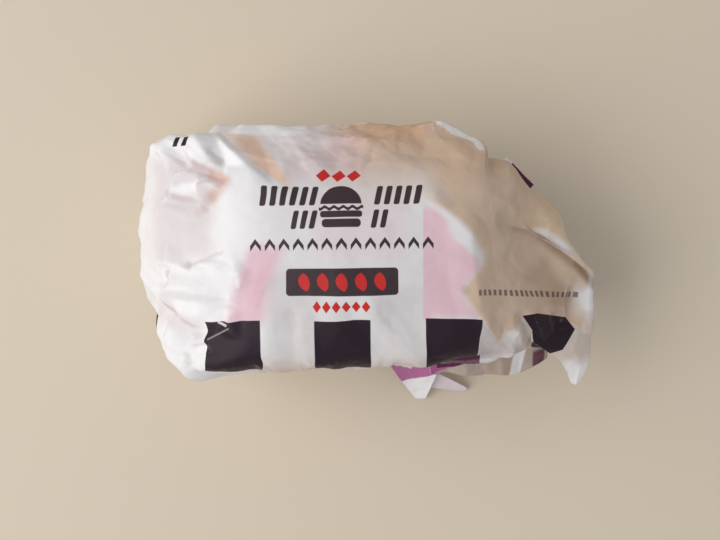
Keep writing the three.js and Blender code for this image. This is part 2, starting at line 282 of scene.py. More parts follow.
# %% The left end, facet by facet
# Each corner of a facet as x, y and how far it stands out. FOLD_ROUND softens the creases between them.
FOLD_ROUND = 0.55
LEFT_END_X = -15
ABOVE_NET = 50
LEFT_FACETS = [
    # rim of the net
    (-64.5, 35.5, 0), (-50, 36, 0), (-31, 35.5, 0), (-17.5, 19.5, 0), (-16, 8.5, 0), (-20, -4.5, 0),
    (-28, -15, 0), (-32.5, -25.5, 0), (-34, -38.5, 0), (-44, -40.5, 0), (-59, -39, 0),
    (-67, -23.5, 0), (-68.5, -1.5, 0), (-68, 19.5, 0),
    # rolled tuft at the corner, and the curved pinch beside it
    (-60.5, 30, 0.6), (-56.5, 26.5, 3.0), (-53.5, 28, 2.0), (-52.5, 23.5, 2.4), (-51, 26, -1.2),
    (-49.5, 22.5, -1.7), (-51.5, 20.5, -0.5), (-59.5, 23.5, 1.2), (-60, 21, -0.6),
    # facets up to the upright crease
    (-48, 26.5, 0.3), (-42.5, 27, 1.3), (-38.5, 28.5, -0.5), (-37.5, 21.5, -1.5),
    (-34.5, 24.5, 1.0), (-29.5, 20, 0.7), (-44.5, 22.5, 1.3), (-39, 20.5, 0.7),
    # shade under the lifted edge, and the pocket
    (-46.5, 20.5, -0.8), (-41.5, 19.5, -2.1), (-38.5, 18, -2.3), (-35, 16.5, 0.3), (-40, 13, -1.9),
    (-44, 9, -0.9), (-41.5, 16, 1.0), (-37.5, 14, 0.2),
    # white facet under the tuft, and the valley under it
    (-53, 18, 0.5), (-51, 19.5, 1.0), (-43, 15, 1.9), (-53, 14.5, 0.5), (-57.5, 16, -0.4),
    (-51.5, 12.5, -1.2), (-46.5, 11.5, -1.2), (-56.5, 11, 0.5), (-49, 8.5, 0.5), (-41.5, 6, 0.1),
    # shallow dents of the left end
    (-61.5, 7, 0.5), (-55.5, 2.5, -0.7), (-47, 2, 0.4), (-51, -2, -0.8), (-42, -0.5, 0.2),
    (-35.5, 3, 0.3), (-60.5, -4.5, 0.6), (-34.5, -2, 0.2),
    # upper edge of the leaf, and the paper that dips above it
    (-52.5, -5, 0.9), (-47, -6.5, 0.9), (-43.5, -5, 1.4), (-37.5, -6.5, 1.6), (-32, -8.5, 1.5),
    (-31.5, -9.5, 1.1), (-47, -5, -0.7), (-43, -3.5, -0.4), (-37, -4.5, -0.1), (-30, -7.5, 0),
    # inside and lower edge of the leaf
    (-48.5, -8.5, 0.1), (-42, -8, 0.4), (-51, -10.5, 1.0), (-41, -11.5, 1.0), (-36, -9.5, 1.1),
    (-32, -11, 1.1), (-35, -12.5, 1.0), (-29.5, -10.5, 0.2), (-31.5, -12.5, 0.1),
    (-36.5, -15, 0.1),
    # valley on its left, and the crease that runs from the notch
    (-53.5, -6.5, -0.9), (-54, -9.5, -1.5), (-60, -10.5, -0.7), (-56.5, -12, -0.2),
    (-61.5, -13, 1.6), (-55.5, -13.5, 1.6), (-49, -14.5, 1.0), (-40.5, -14.5, 1.0),
    # long valley and ridge towards the front corner
    (-58, -16, -0.5), (-53, -19, -1.9), (-47.5, -22.5, -1.4), (-44, -24, -0.8), (-45.5, -17.5, 0.8),
    (-40, -18.5, 1.0), (-35.5, -14.5, 0.9), (-35, -20.5, 1.2), (-32.5, -18, -0.2),
    (-52, -22.5, 0.8), (-44, -25.5, 1.1),
    # front corner, and the creases of the first square
    (-56, -27, 0.3), (-50, -27.5, 0.8), (-47, -28.5, -0.9), (-47, -33.5, -1.3), (-51, -32.5, 0.6),
    (-43.5, -31, 0.7), (-41.5, -25.5, 0.9), (-35.5, -22.5, 1.1), (-37.5, -21, 0.1), (-39, -23, 0.1),
    (-37.5, -25.5, -0.1), (-42, -27, -0.5), (-40.5, -28, 0.6), (-42, -30, 0.3), (-33.5, -28, 0),
]


def left_heights(x, y):
    """Height at points of the label side, read off flat facets between the named corners."""
    spots = [Vector(corner[:2]) for corner in LEFT_FACETS]
    joined_spots, _, triangles, origins = delaunay_2d_cdt(spots, [], [], 0, 1e-4)[:4]
    corners = [(*spot, LEFT_FACETS[origin[0]][2]) for spot, origin in zip(joined_spots, origins)]
    net = BVHTree.FromPolygons(corners, triangles)
    result = np.zeros(len(x))
    nudges = [(-FOLD_ROUND, 0), (FOLD_ROUND, 0), (0, -FOLD_ROUND), (0, FOLD_ROUND)]
    for index in np.nonzero(x < LEFT_END_X)[0]:
        for nudge_x, nudge_y in nudges:
            spot = Vector((x[index] + nudge_x, y[index] + nudge_y, ABOVE_NET))
            place = net.ray_cast(spot, Vector((0, 0, -1)))[0]
            result[index] += 0 if place is None else place.z / len(nudges)
    return result


print(len(LEFT_FACETS), "corners hold the facets of the left end")

# %% The folds of the other sides
# The front and the crown side are seen as [x, z], and both ends as [y, z].
FRONT_FOLDS = [
    lip([2, 13], [-46, 50], 2.6, 15),
    lip([-50, 14], [-14, 4], 1.6, 8),
    lip([34, 52], [-8, 24], 2.5, 13),
    lip([-8, 24], [16, 11], 2.5, 13),
    ridge([-30, 58], [-22, 40], -0.9, 5),
    ridge([8, 60], [2, 44], 0.9, 6),
    ridge([22, 30], [46, 24], -1, 6),
    ridge([-36, 26], [-20, 12], 0.9, 6),
    ridge([-56, 30], [-44, 22], -1.6, 5),
    ridge([58, 40], [46, 34], -1.4, 5),
]
CROWN_FOLDS = [
    ridge([-12, 40], [-48, 54], 1.1, 7),
    ridge([-10, 28], [-56, 20], 1.2, 7),
    ridge([-18, 34], [-58, 37], -1.2, 7),
    ridge([16, 42], [36, 56], 0.9, 7),
    ridge([14, 26], [34, 8], 1.1, 7),
    ridge([4, 24], [6, 4], -0.9, 7),
    ridge([35.8, 58], [36.2, 14], -3.2, 3.4),
]
END_FOLDS = [
    ridge([-26, 44], [4, 24], 1.8, 5),
    ridge([22, 50], [4, 24], 1.5, 5),
    ridge([-24, 12], [4, 24], -1.8, 5),
    ridge([24, 10], [4, 24], 1.5, 5),
    ridge([26, 30], [4, 24], -1.7, 5),
    ridge([-30, 28], [-6, 30], -1.3, 4.5),
]
print(len(FRONT_FOLDS), "front,", len(CROWN_FOLDS), "crown and", len(END_FOLDS), "end folds")

# %% [markdown]
# ## From broad crumples to small facets
# Between the named folds the sheet is crumpled. A cloud noise looks like plaster, because its slopes are
# round. Crumpled paper is a net of flat triangles with sharp creases, so here random points on the parcel
# are joined into a net, each point is pushed in or out, and the grid reads its height from the flat
# triangle it lies on. A first rule of long straight folds is shared with the solid part.

# %% Crumples
GOLDEN = 0.6180339887
CRUMPLES = 12
CRUMPLE_WIDTHS = [17, 22, 27, 32, 37, 42]
CRUMPLE_BEND = 0.15
CRUMPLE_STEEPNESS = 0.024
FACET_SCATTER = 0.32


def pleat(turns):
    """A zigzag of straight folds, between -0.5 and 0.5."""
    return np.abs((turns - np.floor(turns)) * 2 - 1) - 0.5


def crumple(spots):
    """Long straight folds in many directions, each a zigzag across its own heading."""
    total = np.zeros(len(spots))
    for k in range(CRUMPLES):
        up = 1 - 2 * (k + 0.5) / CRUMPLES
        turn = 2 * math.pi * ((k * GOLDEN) % 1)
        level = math.sqrt(1 - up * up)
        width = CRUMPLE_WIDTHS[k % len(CRUMPLE_WIDTHS)]
        heading = np.array([level * math.cos(turn), level * math.sin(turn), up])
        place = (spots @ heading + CRUMPLE_BEND * total * width) / width + k * GOLDEN
        total += pleat(place) * width * CRUMPLE_STEEPNESS
    return total


def facet_net(count, seed):
    """Height between -1 and 1 at each ray, read off a net of flat triangles with scattered corners."""
    draw = np.random.default_rng(seed)
    turn = math.pi * (3 - math.sqrt(5)) * np.arange(count)
    up = 1 - 2 * (np.arange(count) + 0.5) / count
    level = np.sqrt(1 - up * up)
    corners = np.stack([level * np.cos(turn), level * np.sin(turn), up], axis=1)
    corners += draw.normal(0, FACET_SCATTER * math.sqrt(4 * math.pi / count), corners.shape)
    corners /= np.linalg.norm(corners, axis=1, keepdims=True)
    lift = draw.uniform(-1, 1, len(corners))
    net = bmesh.new()
    for corner in corners:
        net.verts.new(corner)
    bmesh.ops.convex_hull(net, input=list(net.verts))
    bmesh.ops.triangulate(net, faces=list(net.faces))
    net.verts.index_update()
    net.verts.ensure_lookup_table()
    net_spots = np.array([vert.co for vert in net.verts])
    triangles = np.array([[vert.index for vert in triangle.verts] for triangle in net.faces])
    net.free()
    # a corner may have been dropped as the net closed, so each finds its own lift again
    lifts = lift[np.argmax(net_spots @ corners.T, axis=1)]
    tree = BVHTree.FromPolygons([Vector(spot) for spot in net_spots], triangles.tolist())
    hits = [tree.ray_cast(Vector((0, 0, 0)), Vector(ray)) for ray in rays]
    missed = [hit[2] is None for hit in hits]
    index = np.array([0 if hit[2] is None else hit[2] for hit in hits])
    where = np.array([ray if hit[0] is None else hit[0] for ray, hit in zip(rays, hits)])
    a, b, c = (net_spots[triangles[index, k]] for k in range(3))
    area = np.cross(b - a, c - a)
    size = np.einsum("ij,ij->i", area, area)
    share_b = np.einsum("ij,ij->i", np.cross(where - a, c - a), area) / size
    share_c = np.einsum("ij,ij->i", np.cross(b - a, where - a), area) / size
    corner_lifts = lifts[triangles[index]]
    values = corner_lifts @ [1, 0, 0]
    values = values + share_b * (corner_lifts[:, 1] - values) + share_c * (corner_lifts[:, 2] - values)
    values[missed] = 0
    return np.clip(values, -1, 1)


base_x, base_y, base_z = base_spots.T
left_lift = left_heights(base_x, base_y)
on_label = fade(base_normals[:, 2], 0.6, 0.9) * (1 - fade(np.abs(base_x + 3), 30, 44))
broad_facets = facet_net(count=620, seed=5)
small_facets = facet_net(count=3400, seed=8)
print("facets lift the paper by", round(float(np.ptp(broad_facets)), 2), "times their height")

# %% Put the folds together
FLAT_FOOT = 0.5


def relief(spots, normals):
    """How far the large folds lift the paper."""
    x, y, z = spots.T
    on_top = fade(normals[:, 2], 0.05, 0.45)
    on_front = fade(-normals[:, 1], 0.35, 0.75)
    on_crown = fade(normals[:, 1], 0.35, 0.75)
    on_end = fade(np.abs(normals[:, 0]), 0.5, 0.85) * (1 - fade(normals[:, 2], 0.1, 0.45))
    off_label = 0.3 + 0.7 * np.maximum(fade(np.abs(x), 32, 50), 1 - fade(z, 44, 60))
    return (
        on_top * (heights(TOP_FOLDS, x, y) + left_lift)
        + on_front * heights(FRONT_FOLDS, x, z)
        + on_crown * heights(CROWN_FOLDS, x, z)
        + on_end * heights(END_FOLDS, np.where(x < 0, y, 6 - y), z)
        + off_label * crumple(spots)
    )


near_table = fade(base_z, 0.5, 9)
large_lift = relief(base_spots, base_normals)
facing_up = fade(base_normals[:, 2], 0.2, 0.5)
on_left = fade(-base_x, 28, 36) * facing_up
on_right = fade(base_x, 22, 32) * facing_up
on_walls = (1 - fade(base_normals[:, 2], 0.1, 0.4)) * fade(base_normals[:, 2], -0.9, -0.5)
broad_share = 0.8 + 0.35 * on_walls - 0.66 * on_label - 0.5 * on_left - 0.5 * on_right
small_share = 0.2 + 0.16 * on_walls - 0.16 * on_label - 0.08 * on_right
small_lift = broad_share * broad_facets + small_share * small_facets
tucked_in = 0.8 * fade(-base_x, 52, 62) * fade(base_z, 12, 24)
lift = (large_lift + small_lift - tucked_in) * near_table
straightness = np.maximum(0.6, np.einsum("ij,ij->i", rays, base_normals))
paper_spots = base_spots + rays * (lift / straightness)[:, None]
paper_spots[paper_spots[:, 2] < FLAT_FOOT, 2] = 0
print("folds lift the paper by", round(float(lift.min()), 1), "to", round(float(lift.max()), 1), "mm")

# %% [markdown]
# ## Sheet coordinates
# Print is laid down while the sheet is flat, so it has to follow the paper and not the room. Each point
# keeps its place on the flat sheet: over the label the two agree, and on the slopes the sheet runs on by
# its own length. A little of every fold's lift is added, because a fold uses up paper, and so a printed
# edge steps where a crease crosses it.

# %% Place of each point on the flat sheet
SLOPE_LEFT = -41.5
SLOPE_RIGHT = 28
RUN_LEFT = 1.62
RUN_RIGHT = 1.206
PRINT_TILT = 0.0147
LABEL_X = -5.6

along_sheet = np.where(base_x < SLOPE_LEFT, SLOPE_LEFT + (base_x - SLOPE_LEFT) * RUN_LEFT, base_x)
along_sheet = np.where(
    base_x > SLOPE_RIGHT, SLOPE_RIGHT + (base_x - SLOPE_RIGHT) * RUN_RIGHT, along_sheet
)
used_up = 0.25 * (1 - 0.85 * on_label) * (heights(TOP_FOLDS, base_x, base_y) + left_lift + small_lift)
sheet_u = along_sheet + used_up + PRINT_TILT * base_y
down_front = np.maximum(0, 57 - base_z) * fade(-base_normals[:, 1], 0.35, 0.75)
sheet_v = base_y - down_front - 0.5 * used_up - PRINT_TILT * (base_x - LABEL_X)
face_up = fade(base_normals[:, 2], 0.22, 0.5)
print("flat sheet:", round(float(np.ptp(sheet_u))), "by", round(float(np.ptp(sheet_v))), "mm")

# %% [markdown]
# ## Painted highlights and painted shade
# The bright rims of the folds are painted lighter as a highlight, and the valleys are painted darker as
# shade. Each is a stroke with its two ends, half width, soft border and strength. A stroke is crisp on its
# left-hand side, thins out at its ends, and is bent by the small facets. The sum is kept on the points of
# the mesh.

# %% Painted highlights on fold rims and painted shade in valleys
# A strength below 0 is painted shade, and above 0 a painted highlight.
PAINTED_LIGHT_STROKES = [
    # crown side: the bright folded edge, soft streaks, and the dark beside the print
    ((30.5, 28.6), (17.5, 33.9), 0.6, 1.4, 0.95), ((32.5, 24.8), (29, 29.9), 0.4, 1.2, 0.8),
    ((-37, 30.4), (-14.5, 32.2), 1.2, 0.8, 1.0), ((-19.5, 26), (-16.5, 19), 0.3, 1.5, -0.12),
    ((-24, 27.6), (-9, 28.4), 1.4, 2.4, 0.4),
    ((-18, 25.5), (-14, 19.5), 0.2, 1.0, 0.35), ((20, 15), (23.5, 9), 0.8, 2.0, -0.3),
    ((16, 32), (21, 29.5), 0.4, 1.5, -0.2),
    # corner tuft, and the paper between it and the upright crease
    ((-57, 29.5), (-58.5, 27), 1.4, 1.5, 0.7), ((-47.5, 26), (-40.5, 23), 0.9, 1.6, 0.7),
    ((-40.5, 26.5), (-38, 21), 0.3, 1.2, -0.45), ((-52.5, 25.5), (-50, 22), 0.3, 1.0, -0.4),
    ((-55.5, 25.5), (-54, 24.5), 0.1, 0.6, -0.5), ((-36.5, 25), (-30, 19.5), 1.3, 1.8, 0.8),
    # under the lifted edge, round the pocket, and the valley
    ((-49, 22.5), (-40.5, 19.5), 0.8, 1.8, -0.5), ((-53, 15.2), (-42.5, 17.4), 0.5, 2.2, 0.75),
    ((-56.5, 15.5), (-46.5, 12), 0.4, 1.4, -0.4), ((-45, 12), (-43.5, 9.5), 0.3, 1.2, -0.3),
    # leaf: its bright rim and the dark dips beside it
    ((-52.5, -5), (-48, -6.5), 0.2, 0.7, 0.7), ((-44, -4.5), (-37.5, -6), 0.25, 0.7, 0.9),
    ((-37.5, -6), (-32, -8.5), 0.25, 0.7, 0.9), ((-32, -8.5), (-32.5, -11.5), 0.2, 0.8, 0.6),
    ((-53.5, -6.5), (-53.5, -10), 0.35, 0.9, -0.45), ((-49, -4.5), (-46, -6), 0.2, 0.8, -0.35),
    ((-42, -3.5), (-36.5, -2.5), 0.2, 0.9, -0.3), ((-51.5, -10.5), (-43.5, -11), 0.2, 0.6, 0.6),
    ((-56, -11.8), (-37, -13.8), 0.3, 2.0, -0.2), ((-50, -15.5), (-42, -16.5), 1.2, 2.2, 0.6),
    # front corner: the long valley, and the dents beside the first square
    ((-61, -13), (-53.5, -11.5), 0.3, 0.9, 0.6), ((-56.5, -15), (-50.5, -19.5), 0.6, 1.4, -0.5),
    ((-50.5, -19.5), (-44, -22), 0.4, 1.4, -0.35), ((-47.5, -28.5), (-46.5, -33.5), 0.3, 1.2, -0.3),
    ((-39.5, -18), (-34.5, -18), 0.8, 2.0, 0.5),
    # label: streaks between the squares
    ((-26.5, -11), (-27.5, -18), 0.3, 1.4, -0.2), ((-19.5, -17), (-18.5, -24.5), 0.6, 2.2, -0.2),
    ((3.5, -17), (8.5, -24), 0.4, 1.2, -0.3), ((7.5, -18), (13, -27.5), 0.3, 1.6, 0.2),
    # right end: the bright hem of the upper panel, and the rim of the lower one
    ((58.5, -1.4), (48.5, 4.2), 0.3, 1.6, 0.6), ((67, -9), (55, 0.8), 0.6, 1.6, 0.6),
    ((62, -11), (62.5, -18.5), 0.9, 0.8, 0.9), ((46.5, -17), (56.5, -17.5), 0.5, 1.5, 0.1),
    ((40.5, 6), (43.5, 3), 0.2, 1.3, -0.35), ((26, -11.5), (27.5, -12.5), 0.5, 1.8, -0.4),
    ((61, -20.5), (64.5, -22), 0.4, 1.2, -0.2), ((36, -24.5), (42, -23.5), 1.0, 2.2, 0.45),
]


def painted_light_at(x, y):
    """Between -1 for painted shade and 1 for a painted highlight."""
    total = np.zeros(len(x))
    for start, end, half_width, soft, strength in PAINTED_LIGHT_STROKES:
        run_x = end[0] - start[0]
        run_y = end[1] - start[1]
        share = ((x - start[0]) * run_x + (y - start[1]) * run_y) / (run_x**2 + run_y**2)
        share = np.clip(share, 0, 1)
        away_x = x - start[0] - share * run_x
        away_y = y - start[1] - share * run_y
        thinner = 1 - (2 * share - 1) ** 4
        crisp = np.where(run_x * away_y > run_y * away_x, 0.45, 1.1)
        border = soft * crisp * (0.4 + 0.6 * thinner)
        away = np.hypot(away_x, away_y) - half_width * thinner
        total += strength * (0.4 + 0.6 * thinner) * (1 - fade(away, 0, border))
    return np.clip(total, -1, 1)


PAINTED_LIGHT_BEND = 0.9
painted_light = painted_light_at(base_x + PAINTED_LIGHT_BEND * small_facets, base_y + PAINTED_LIGHT_BEND * broad_facets)
painted_light *= fade(base_normals[:, 2], 0.05, 0.2)
print(len(PAINTED_LIGHT_STROKES), "strokes reach", round(100 * float(np.mean(np.abs(painted_light) > 0.1)), 1), "% of the points")

# %% Make a mesh with its sheet coordinates
def keep_on_points(mesh, name, values):
    """Stores one number for each point of the mesh."""
    layer = mesh.attributes.new(name, "FLOAT", "POINT")
    layer.data.foreach_set("value", np.ascontiguousarray(values, dtype=np.float32))


def paper_mesh(name, spots, quads, sheet):
    """A mesh object from points in millimetres, with a vector attribute that holds the flat sheet."""
    mesh = bpy.data.meshes.new(name)
    mesh.from_pydata(((spots + ORIGIN_SHIFT) * MM).tolist(), [], quads.tolist())
    mesh.attributes.new("sheet", "FLOAT_VECTOR", "POINT").data.foreach_set(
        "vector", np.ascontiguousarray(sheet, dtype=np.float32).ravel()
    )
    mesh.shade_smooth()
    piece = bpy.data.objects.new(name, mesh)
    bpy.context.scene.collection.objects.link(piece)
    return piece


parcel_sheet = np.stack([sheet_u, sheet_v, face_up], axis=1)
parcel = paper_mesh("parcel", paper_spots, parcel_quads, parcel_sheet)
keep_on_points(parcel.data, "painted_light", painted_light)
print("parcel has", len(parcel.data.polygons), "quads")

# %% [markdown]
# ## Loose flaps
# Where the sheet ends it stands free: an ear pinched at the right corner, the curled hem of the closing
# flap, the torn corner of the sheet with its two tails, and a narrow hem behind. Each is one sheet bent
# in a rule of two shares, u across it and v from the parcel outwards, and is given two sides and a rim,
# because a thin solid has faces on both sides for light and for export.

# %% Sheets with two sides
PAPER = 0.28
FLAP_CRUMPLE = 0.45
FLAP_FINER = 5


def wave(turns):
    return np.sin(2 * np.pi * turns)


def blend(a, b, share):
    return a + (b - a) * share


def loose_sheet(name, middle, columns, rows):
    """A thin sheet over a grid of shares, both sides and the rim closed."""

    def at(u, v):
        return np.stack(middle(np.clip(u, 0, 1), np.clip(v, 0, 1)), axis=-1)

    u, v = np.meshgrid(np.linspace(0, 1, columns + 1), np.linspace(0, 1, rows + 1), indexing="xy")
    step = 1e-3
    normals = np.cross(at(u + step, v) - at(u - step, v), at(u, v + step) - at(u, v - step))
    normals /= np.linalg.norm(normals, axis=-1, keepdims=True)
    centre = at(u, v)
    crumpled = crumple(centre.reshape(-1, 3) * FLAP_FINER).reshape(u.shape)
    bent = centre + normals * (FLAP_CRUMPLE * crumpled / FLAP_FINER)[..., None]
    top = (bent + normals * PAPER / 2).reshape(-1, 3)
    under = (bent - normals * PAPER / 2).reshape(-1, 3)
    index = np.arange(u.size).reshape(u.shape)
    cells = [index[:-1, :-1], index[:-1, 1:], index[1:, 1:], index[1:, :-1]]
    upper = np.stack(cells, -1).reshape(-1, 4)
    rim = np.concatenate([index[0, :-1], index[:-1, -1], index[-1, :0:-1], index[:0:-1, 0]])
    ahead = np.roll(rim, -1)
    edge = np.stack([rim, rim + u.size, ahead + u.size, ahead], -1)
    quads = np.concatenate([upper, upper[:, ::-1] + u.size, edge])
    sheet = np.stack([u.ravel(), v.ravel(), np.zeros(u.size)], axis=1)
    return paper_mesh(name, np.concatenate([top, under]), quads, np.concatenate([sheet, sheet]))


# %% The ear and the curled hem
EAR_TIP_Z = 24


def ear_shape(u, v):
    left = np.interp(v, [0, 0.3, 0.48, 0.57, 0.76, 1], [46, 46, 52, 55.3, 58.7, 62])
    right = np.interp(v, [0, 0.3, 0.55, 0.75, 1], [64, 64.8, 65.2, 64.8, 63.8])
    x = blend(left, right, u)
    slope = 49.7 - 0.67 * (x - 50) - 0.1 * np.maximum(0, x - 60) ** 1.5
    crease = 1.2 * v * np.maximum(0, 1 - np.abs(u - 0.62) / 0.5)
    root = 1.6 * np.maximum(0, 1 - v / 0.16)
    return x, blend(-20, -40.8, v), blend(slope, EAR_TIP_Z, v**2.6) + crease - root


def hem_shape(u, v):
    reach = 6.5 + 3 * np.sin(np.pi * u**1.6)
    return (
        blend(18, 52, u) + 1.2 * v,
        blend(-30, -26, u) - reach * v + 0.4 * wave(u * 2.4) * v,
        blend(46, 43, u) - v * blend(8, 9, u) + 2.2 * pleat(u * 3.3) * v,
    )


ear = loose_sheet("corner_ear", ear_shape, 44, 46)
curled_hem = loose_sheet("curled_hem", hem_shape, 90, 30)
print("ear and hem:", len(ear.data.polygons), "and", len(curled_hem.data.polygons), "faces")

# %% The tails and the hem behind
def long_tail_shape(u, v):
    x = blend(blend(5.5, 25, u), blend(17, 20, u), v**1.25)
    height = blend(27, 1.1, v**0.75) + 0.9 * np.sin(x * 0.35) * v
    return x, blend(-31, -47.8, v**1.1), height + 2.2 * (1 - v) * (2 * u - 1) ** 2


def short_tail_shape(u, v):
    half = 2.6 * (1 - v) ** 0.7 + 0.35
    return (
        blend(18.5, 33.2, v) + (u - 0.5) * half * 0.6,
        blend(-40.2, -44.8, v) + (u - 0.5) * 2 * half,
        blend(9.8 + 7.6 * (u - 0.5), 1.3 + 1.2 * (u - 0.5), v**0.6) + 1.5 * v * (1 - v),
    )


def back_hem_shape(u, v):
    return (
        blend(38.5, 46.5, u) + 3.1 * v,
        blend(22.5, 14.5, u) + 3.4 * v,
        33.5 + 0.6 * wave(u) - 1.2 * v,
    )


long_tail = loose_sheet("long_tail", long_tail_shape, 44, 52)
short_tail = loose_sheet("short_tail", short_tail_shape, 26, 50)
back_hem = loose_sheet("back_hem", back_hem_shape, 44, 16)
flaps = [ear, curled_hem, long_tail, short_tail, back_hem]
print("loose flaps:", [flap.name for flap in flaps])

# %% [markdown]
# ## Fine crinkle
# Every piece of the sheet has the same fine crinkle, so one Geometry Nodes tree makes it for all of them.
# It moves each point along its normal by the distance to the nearest seed of a cell pattern. Such
# distances meet in sharp lines, as creases do. The tree has inputs for size and depth, and its result is
# turned into a plain mesh, so that nothing live is left on the piece.

# %% Tree of the crinkle
def crinkle_tree(material):
    """Node tree that lifts a mesh along its normals in fine sharp creases."""
    tree = bpy.data.node_groups.new("fine_crinkle", "GeometryNodeTree")
    sockets = tree.interface
    sockets.new_socket("Paper", in_out="INPUT", socket_type="NodeSocketGeometry")
    for label in ("Cell size", "Depth", "Calm depth"):
        sockets.new_socket(label, in_out="INPUT", socket_type="NodeSocketFloat")
    sockets.new_socket("Paper", in_out="OUTPUT", socket_type="NodeSocketGeometry")

    def add(kind, settings=None, links=None):
        node = tree.nodes.new(kind)
        for key, value in (settings or {}).items():
            setattr(node, key, value)
        for key, value in (links or {}).items():
            if isinstance(value, bpy.types.NodeSocket):
                tree.links.new(value, node.inputs[key])
            else:
                node.inputs[key].default_value = value
        return node

    def sums(operation, a, b):
        return add("ShaderNodeMath", {"operation": operation}, {0: a, 1: b}).outputs[0]

    given = add("NodeGroupInput")
    place = add("GeometryNodeInputPosition").outputs[0]
    scale = sums("DIVIDE", 1.0, given.outputs["Cell size"])
    drift = add("ShaderNodeTexNoise", {"noise_dimensions": "3D"}, {"Vector": place, "Scale": 90.0})
    pushed = add(
        "ShaderNodeVectorMath",
        {"operation": "MULTIPLY_ADD"},
        {0: drift.outputs["Color"], 1: (0.003, 0.003, 0.003), 2: place},
    ).outputs[0]
    coarse = add("ShaderNodeTexVoronoi", {"distance": "EUCLIDEAN"}, {"Vector": pushed, "Scale": scale})
    finer = sums("MULTIPLY", scale, 2.3)
    fine = add("ShaderNodeTexVoronoi", {"distance": "EUCLIDEAN"}, {"Vector": pushed, "Scale": finer})
    height = sums("ADD", coarse.outputs["Distance"], sums("MULTIPLY", fine.outputs["Distance"], 0.4))
    centred = sums("SUBTRACT", height, 0.7)
    calm = add("GeometryNodeInputNamedAttribute", {"data_type": "FLOAT"}, {"Name": "calm"})
    calmed = add(
        "ShaderNodeMix",
        {"data_type": "FLOAT"},
        {0: calm.outputs["Attribute"], 2: given.outputs["Depth"], 3: given.outputs["Calm depth"]},
    ).outputs[0]
    lifted = sums("MULTIPLY", centred, calmed)
    normal = add("GeometryNodeInputNormal").outputs[0]
    offset = add("ShaderNodeVectorMath", {"operation": "SCALE"}, {0: normal, "Scale": lifted}).outputs[0]
    moved = add("GeometryNodeSetPosition", None, {"Geometry": given.outputs["Paper"], "Offset": offset})
    real = add("GeometryNodeRealizeInstances", None, {"Geometry": moved.outputs[0]})
    finish = add("GeometryNodeSetMaterial", None, {"Geometry": real.outputs[0]})
    finish.inputs["Material"].default_value = material
    out = add("NodeGroupOutput")
    tree.links.new(finish.outputs[0], out.inputs["Paper"])
    return tree


# %% Crinkle a piece and keep the plain mesh
def crinkled(piece, material, cell, depth, calm_depth, calm):
    """Gives the piece its fine crinkle and its material, and leaves a plain mesh."""
    tree = crinkle_tree(material)
    keep_on_points(piece.data, "calm", calm)
    modifier = piece.modifiers.new("crinkle", "NODES")
    modifier.node_group = tree
    values = {"Cell size": cell * MM, "Depth": depth * MM, "Calm depth": calm_depth * MM}
    for item in tree.interface.items_tree:
        if item.in_out == "INPUT" and item.name in values:
            modifier[item.identifier] = values[item.name]
    graph = bpy.context.evaluated_depsgraph_get()
    mesh = bpy.data.meshes.new_from_object(piece.evaluated_get(graph), depsgraph=graph)
    piece.modifiers.clear()
    old = piece.data
    piece.data = mesh
    mesh.name = piece.name
    bpy.data.meshes.remove(old)
    bpy.data.node_groups.remove(tree)
    add_crease(piece)
    return piece


def add_crease(piece):
    """Keeps how sharply each point stands out from its neighbours, for the painted highlight on the creases.
    """
    mesh = piece.data
    count = len(mesh.vertices)
    spots = np.empty(count * 3, dtype=np.float32)
    mesh.vertices.foreach_get("co", spots)
    spots = spots.reshape(-1, 3)
    normals = np.empty(count * 3, dtype=np.float32)
    mesh.vertex_normals.foreach_get("vector", normals)
    normals = normals.reshape(-1, 3)
    ends = np.empty(len(mesh.edges) * 2, dtype=np.int32)
    mesh.edges.foreach_get("vertices", ends)
    first, second = ends.reshape(-1, 2).T
    total = np.zeros((count, 3))
    near = np.zeros(count)
    for here, there in ((first, second), (second, first)):
        np.add.at(total, here, spots[there])
        np.add.at(near, here, 1)
    stand = np.einsum("ij,ij->i", spots - total / near[:, None], normals) / MM
    keep_on_points(mesh, "crease", stand)
    print(piece.name, "crease", np.percentile(stand, [1, 50, 99]).round(3))


# %% [markdown]
# ## Shader sums as Python
# Print is a drawing of many small shapes, and a chain of Math nodes for it is hard to read when each is
# placed by hand. A small class wraps a socket instead, so that an expression such as 1 - mask adds its own
# node. Every other kind of node comes from one method.

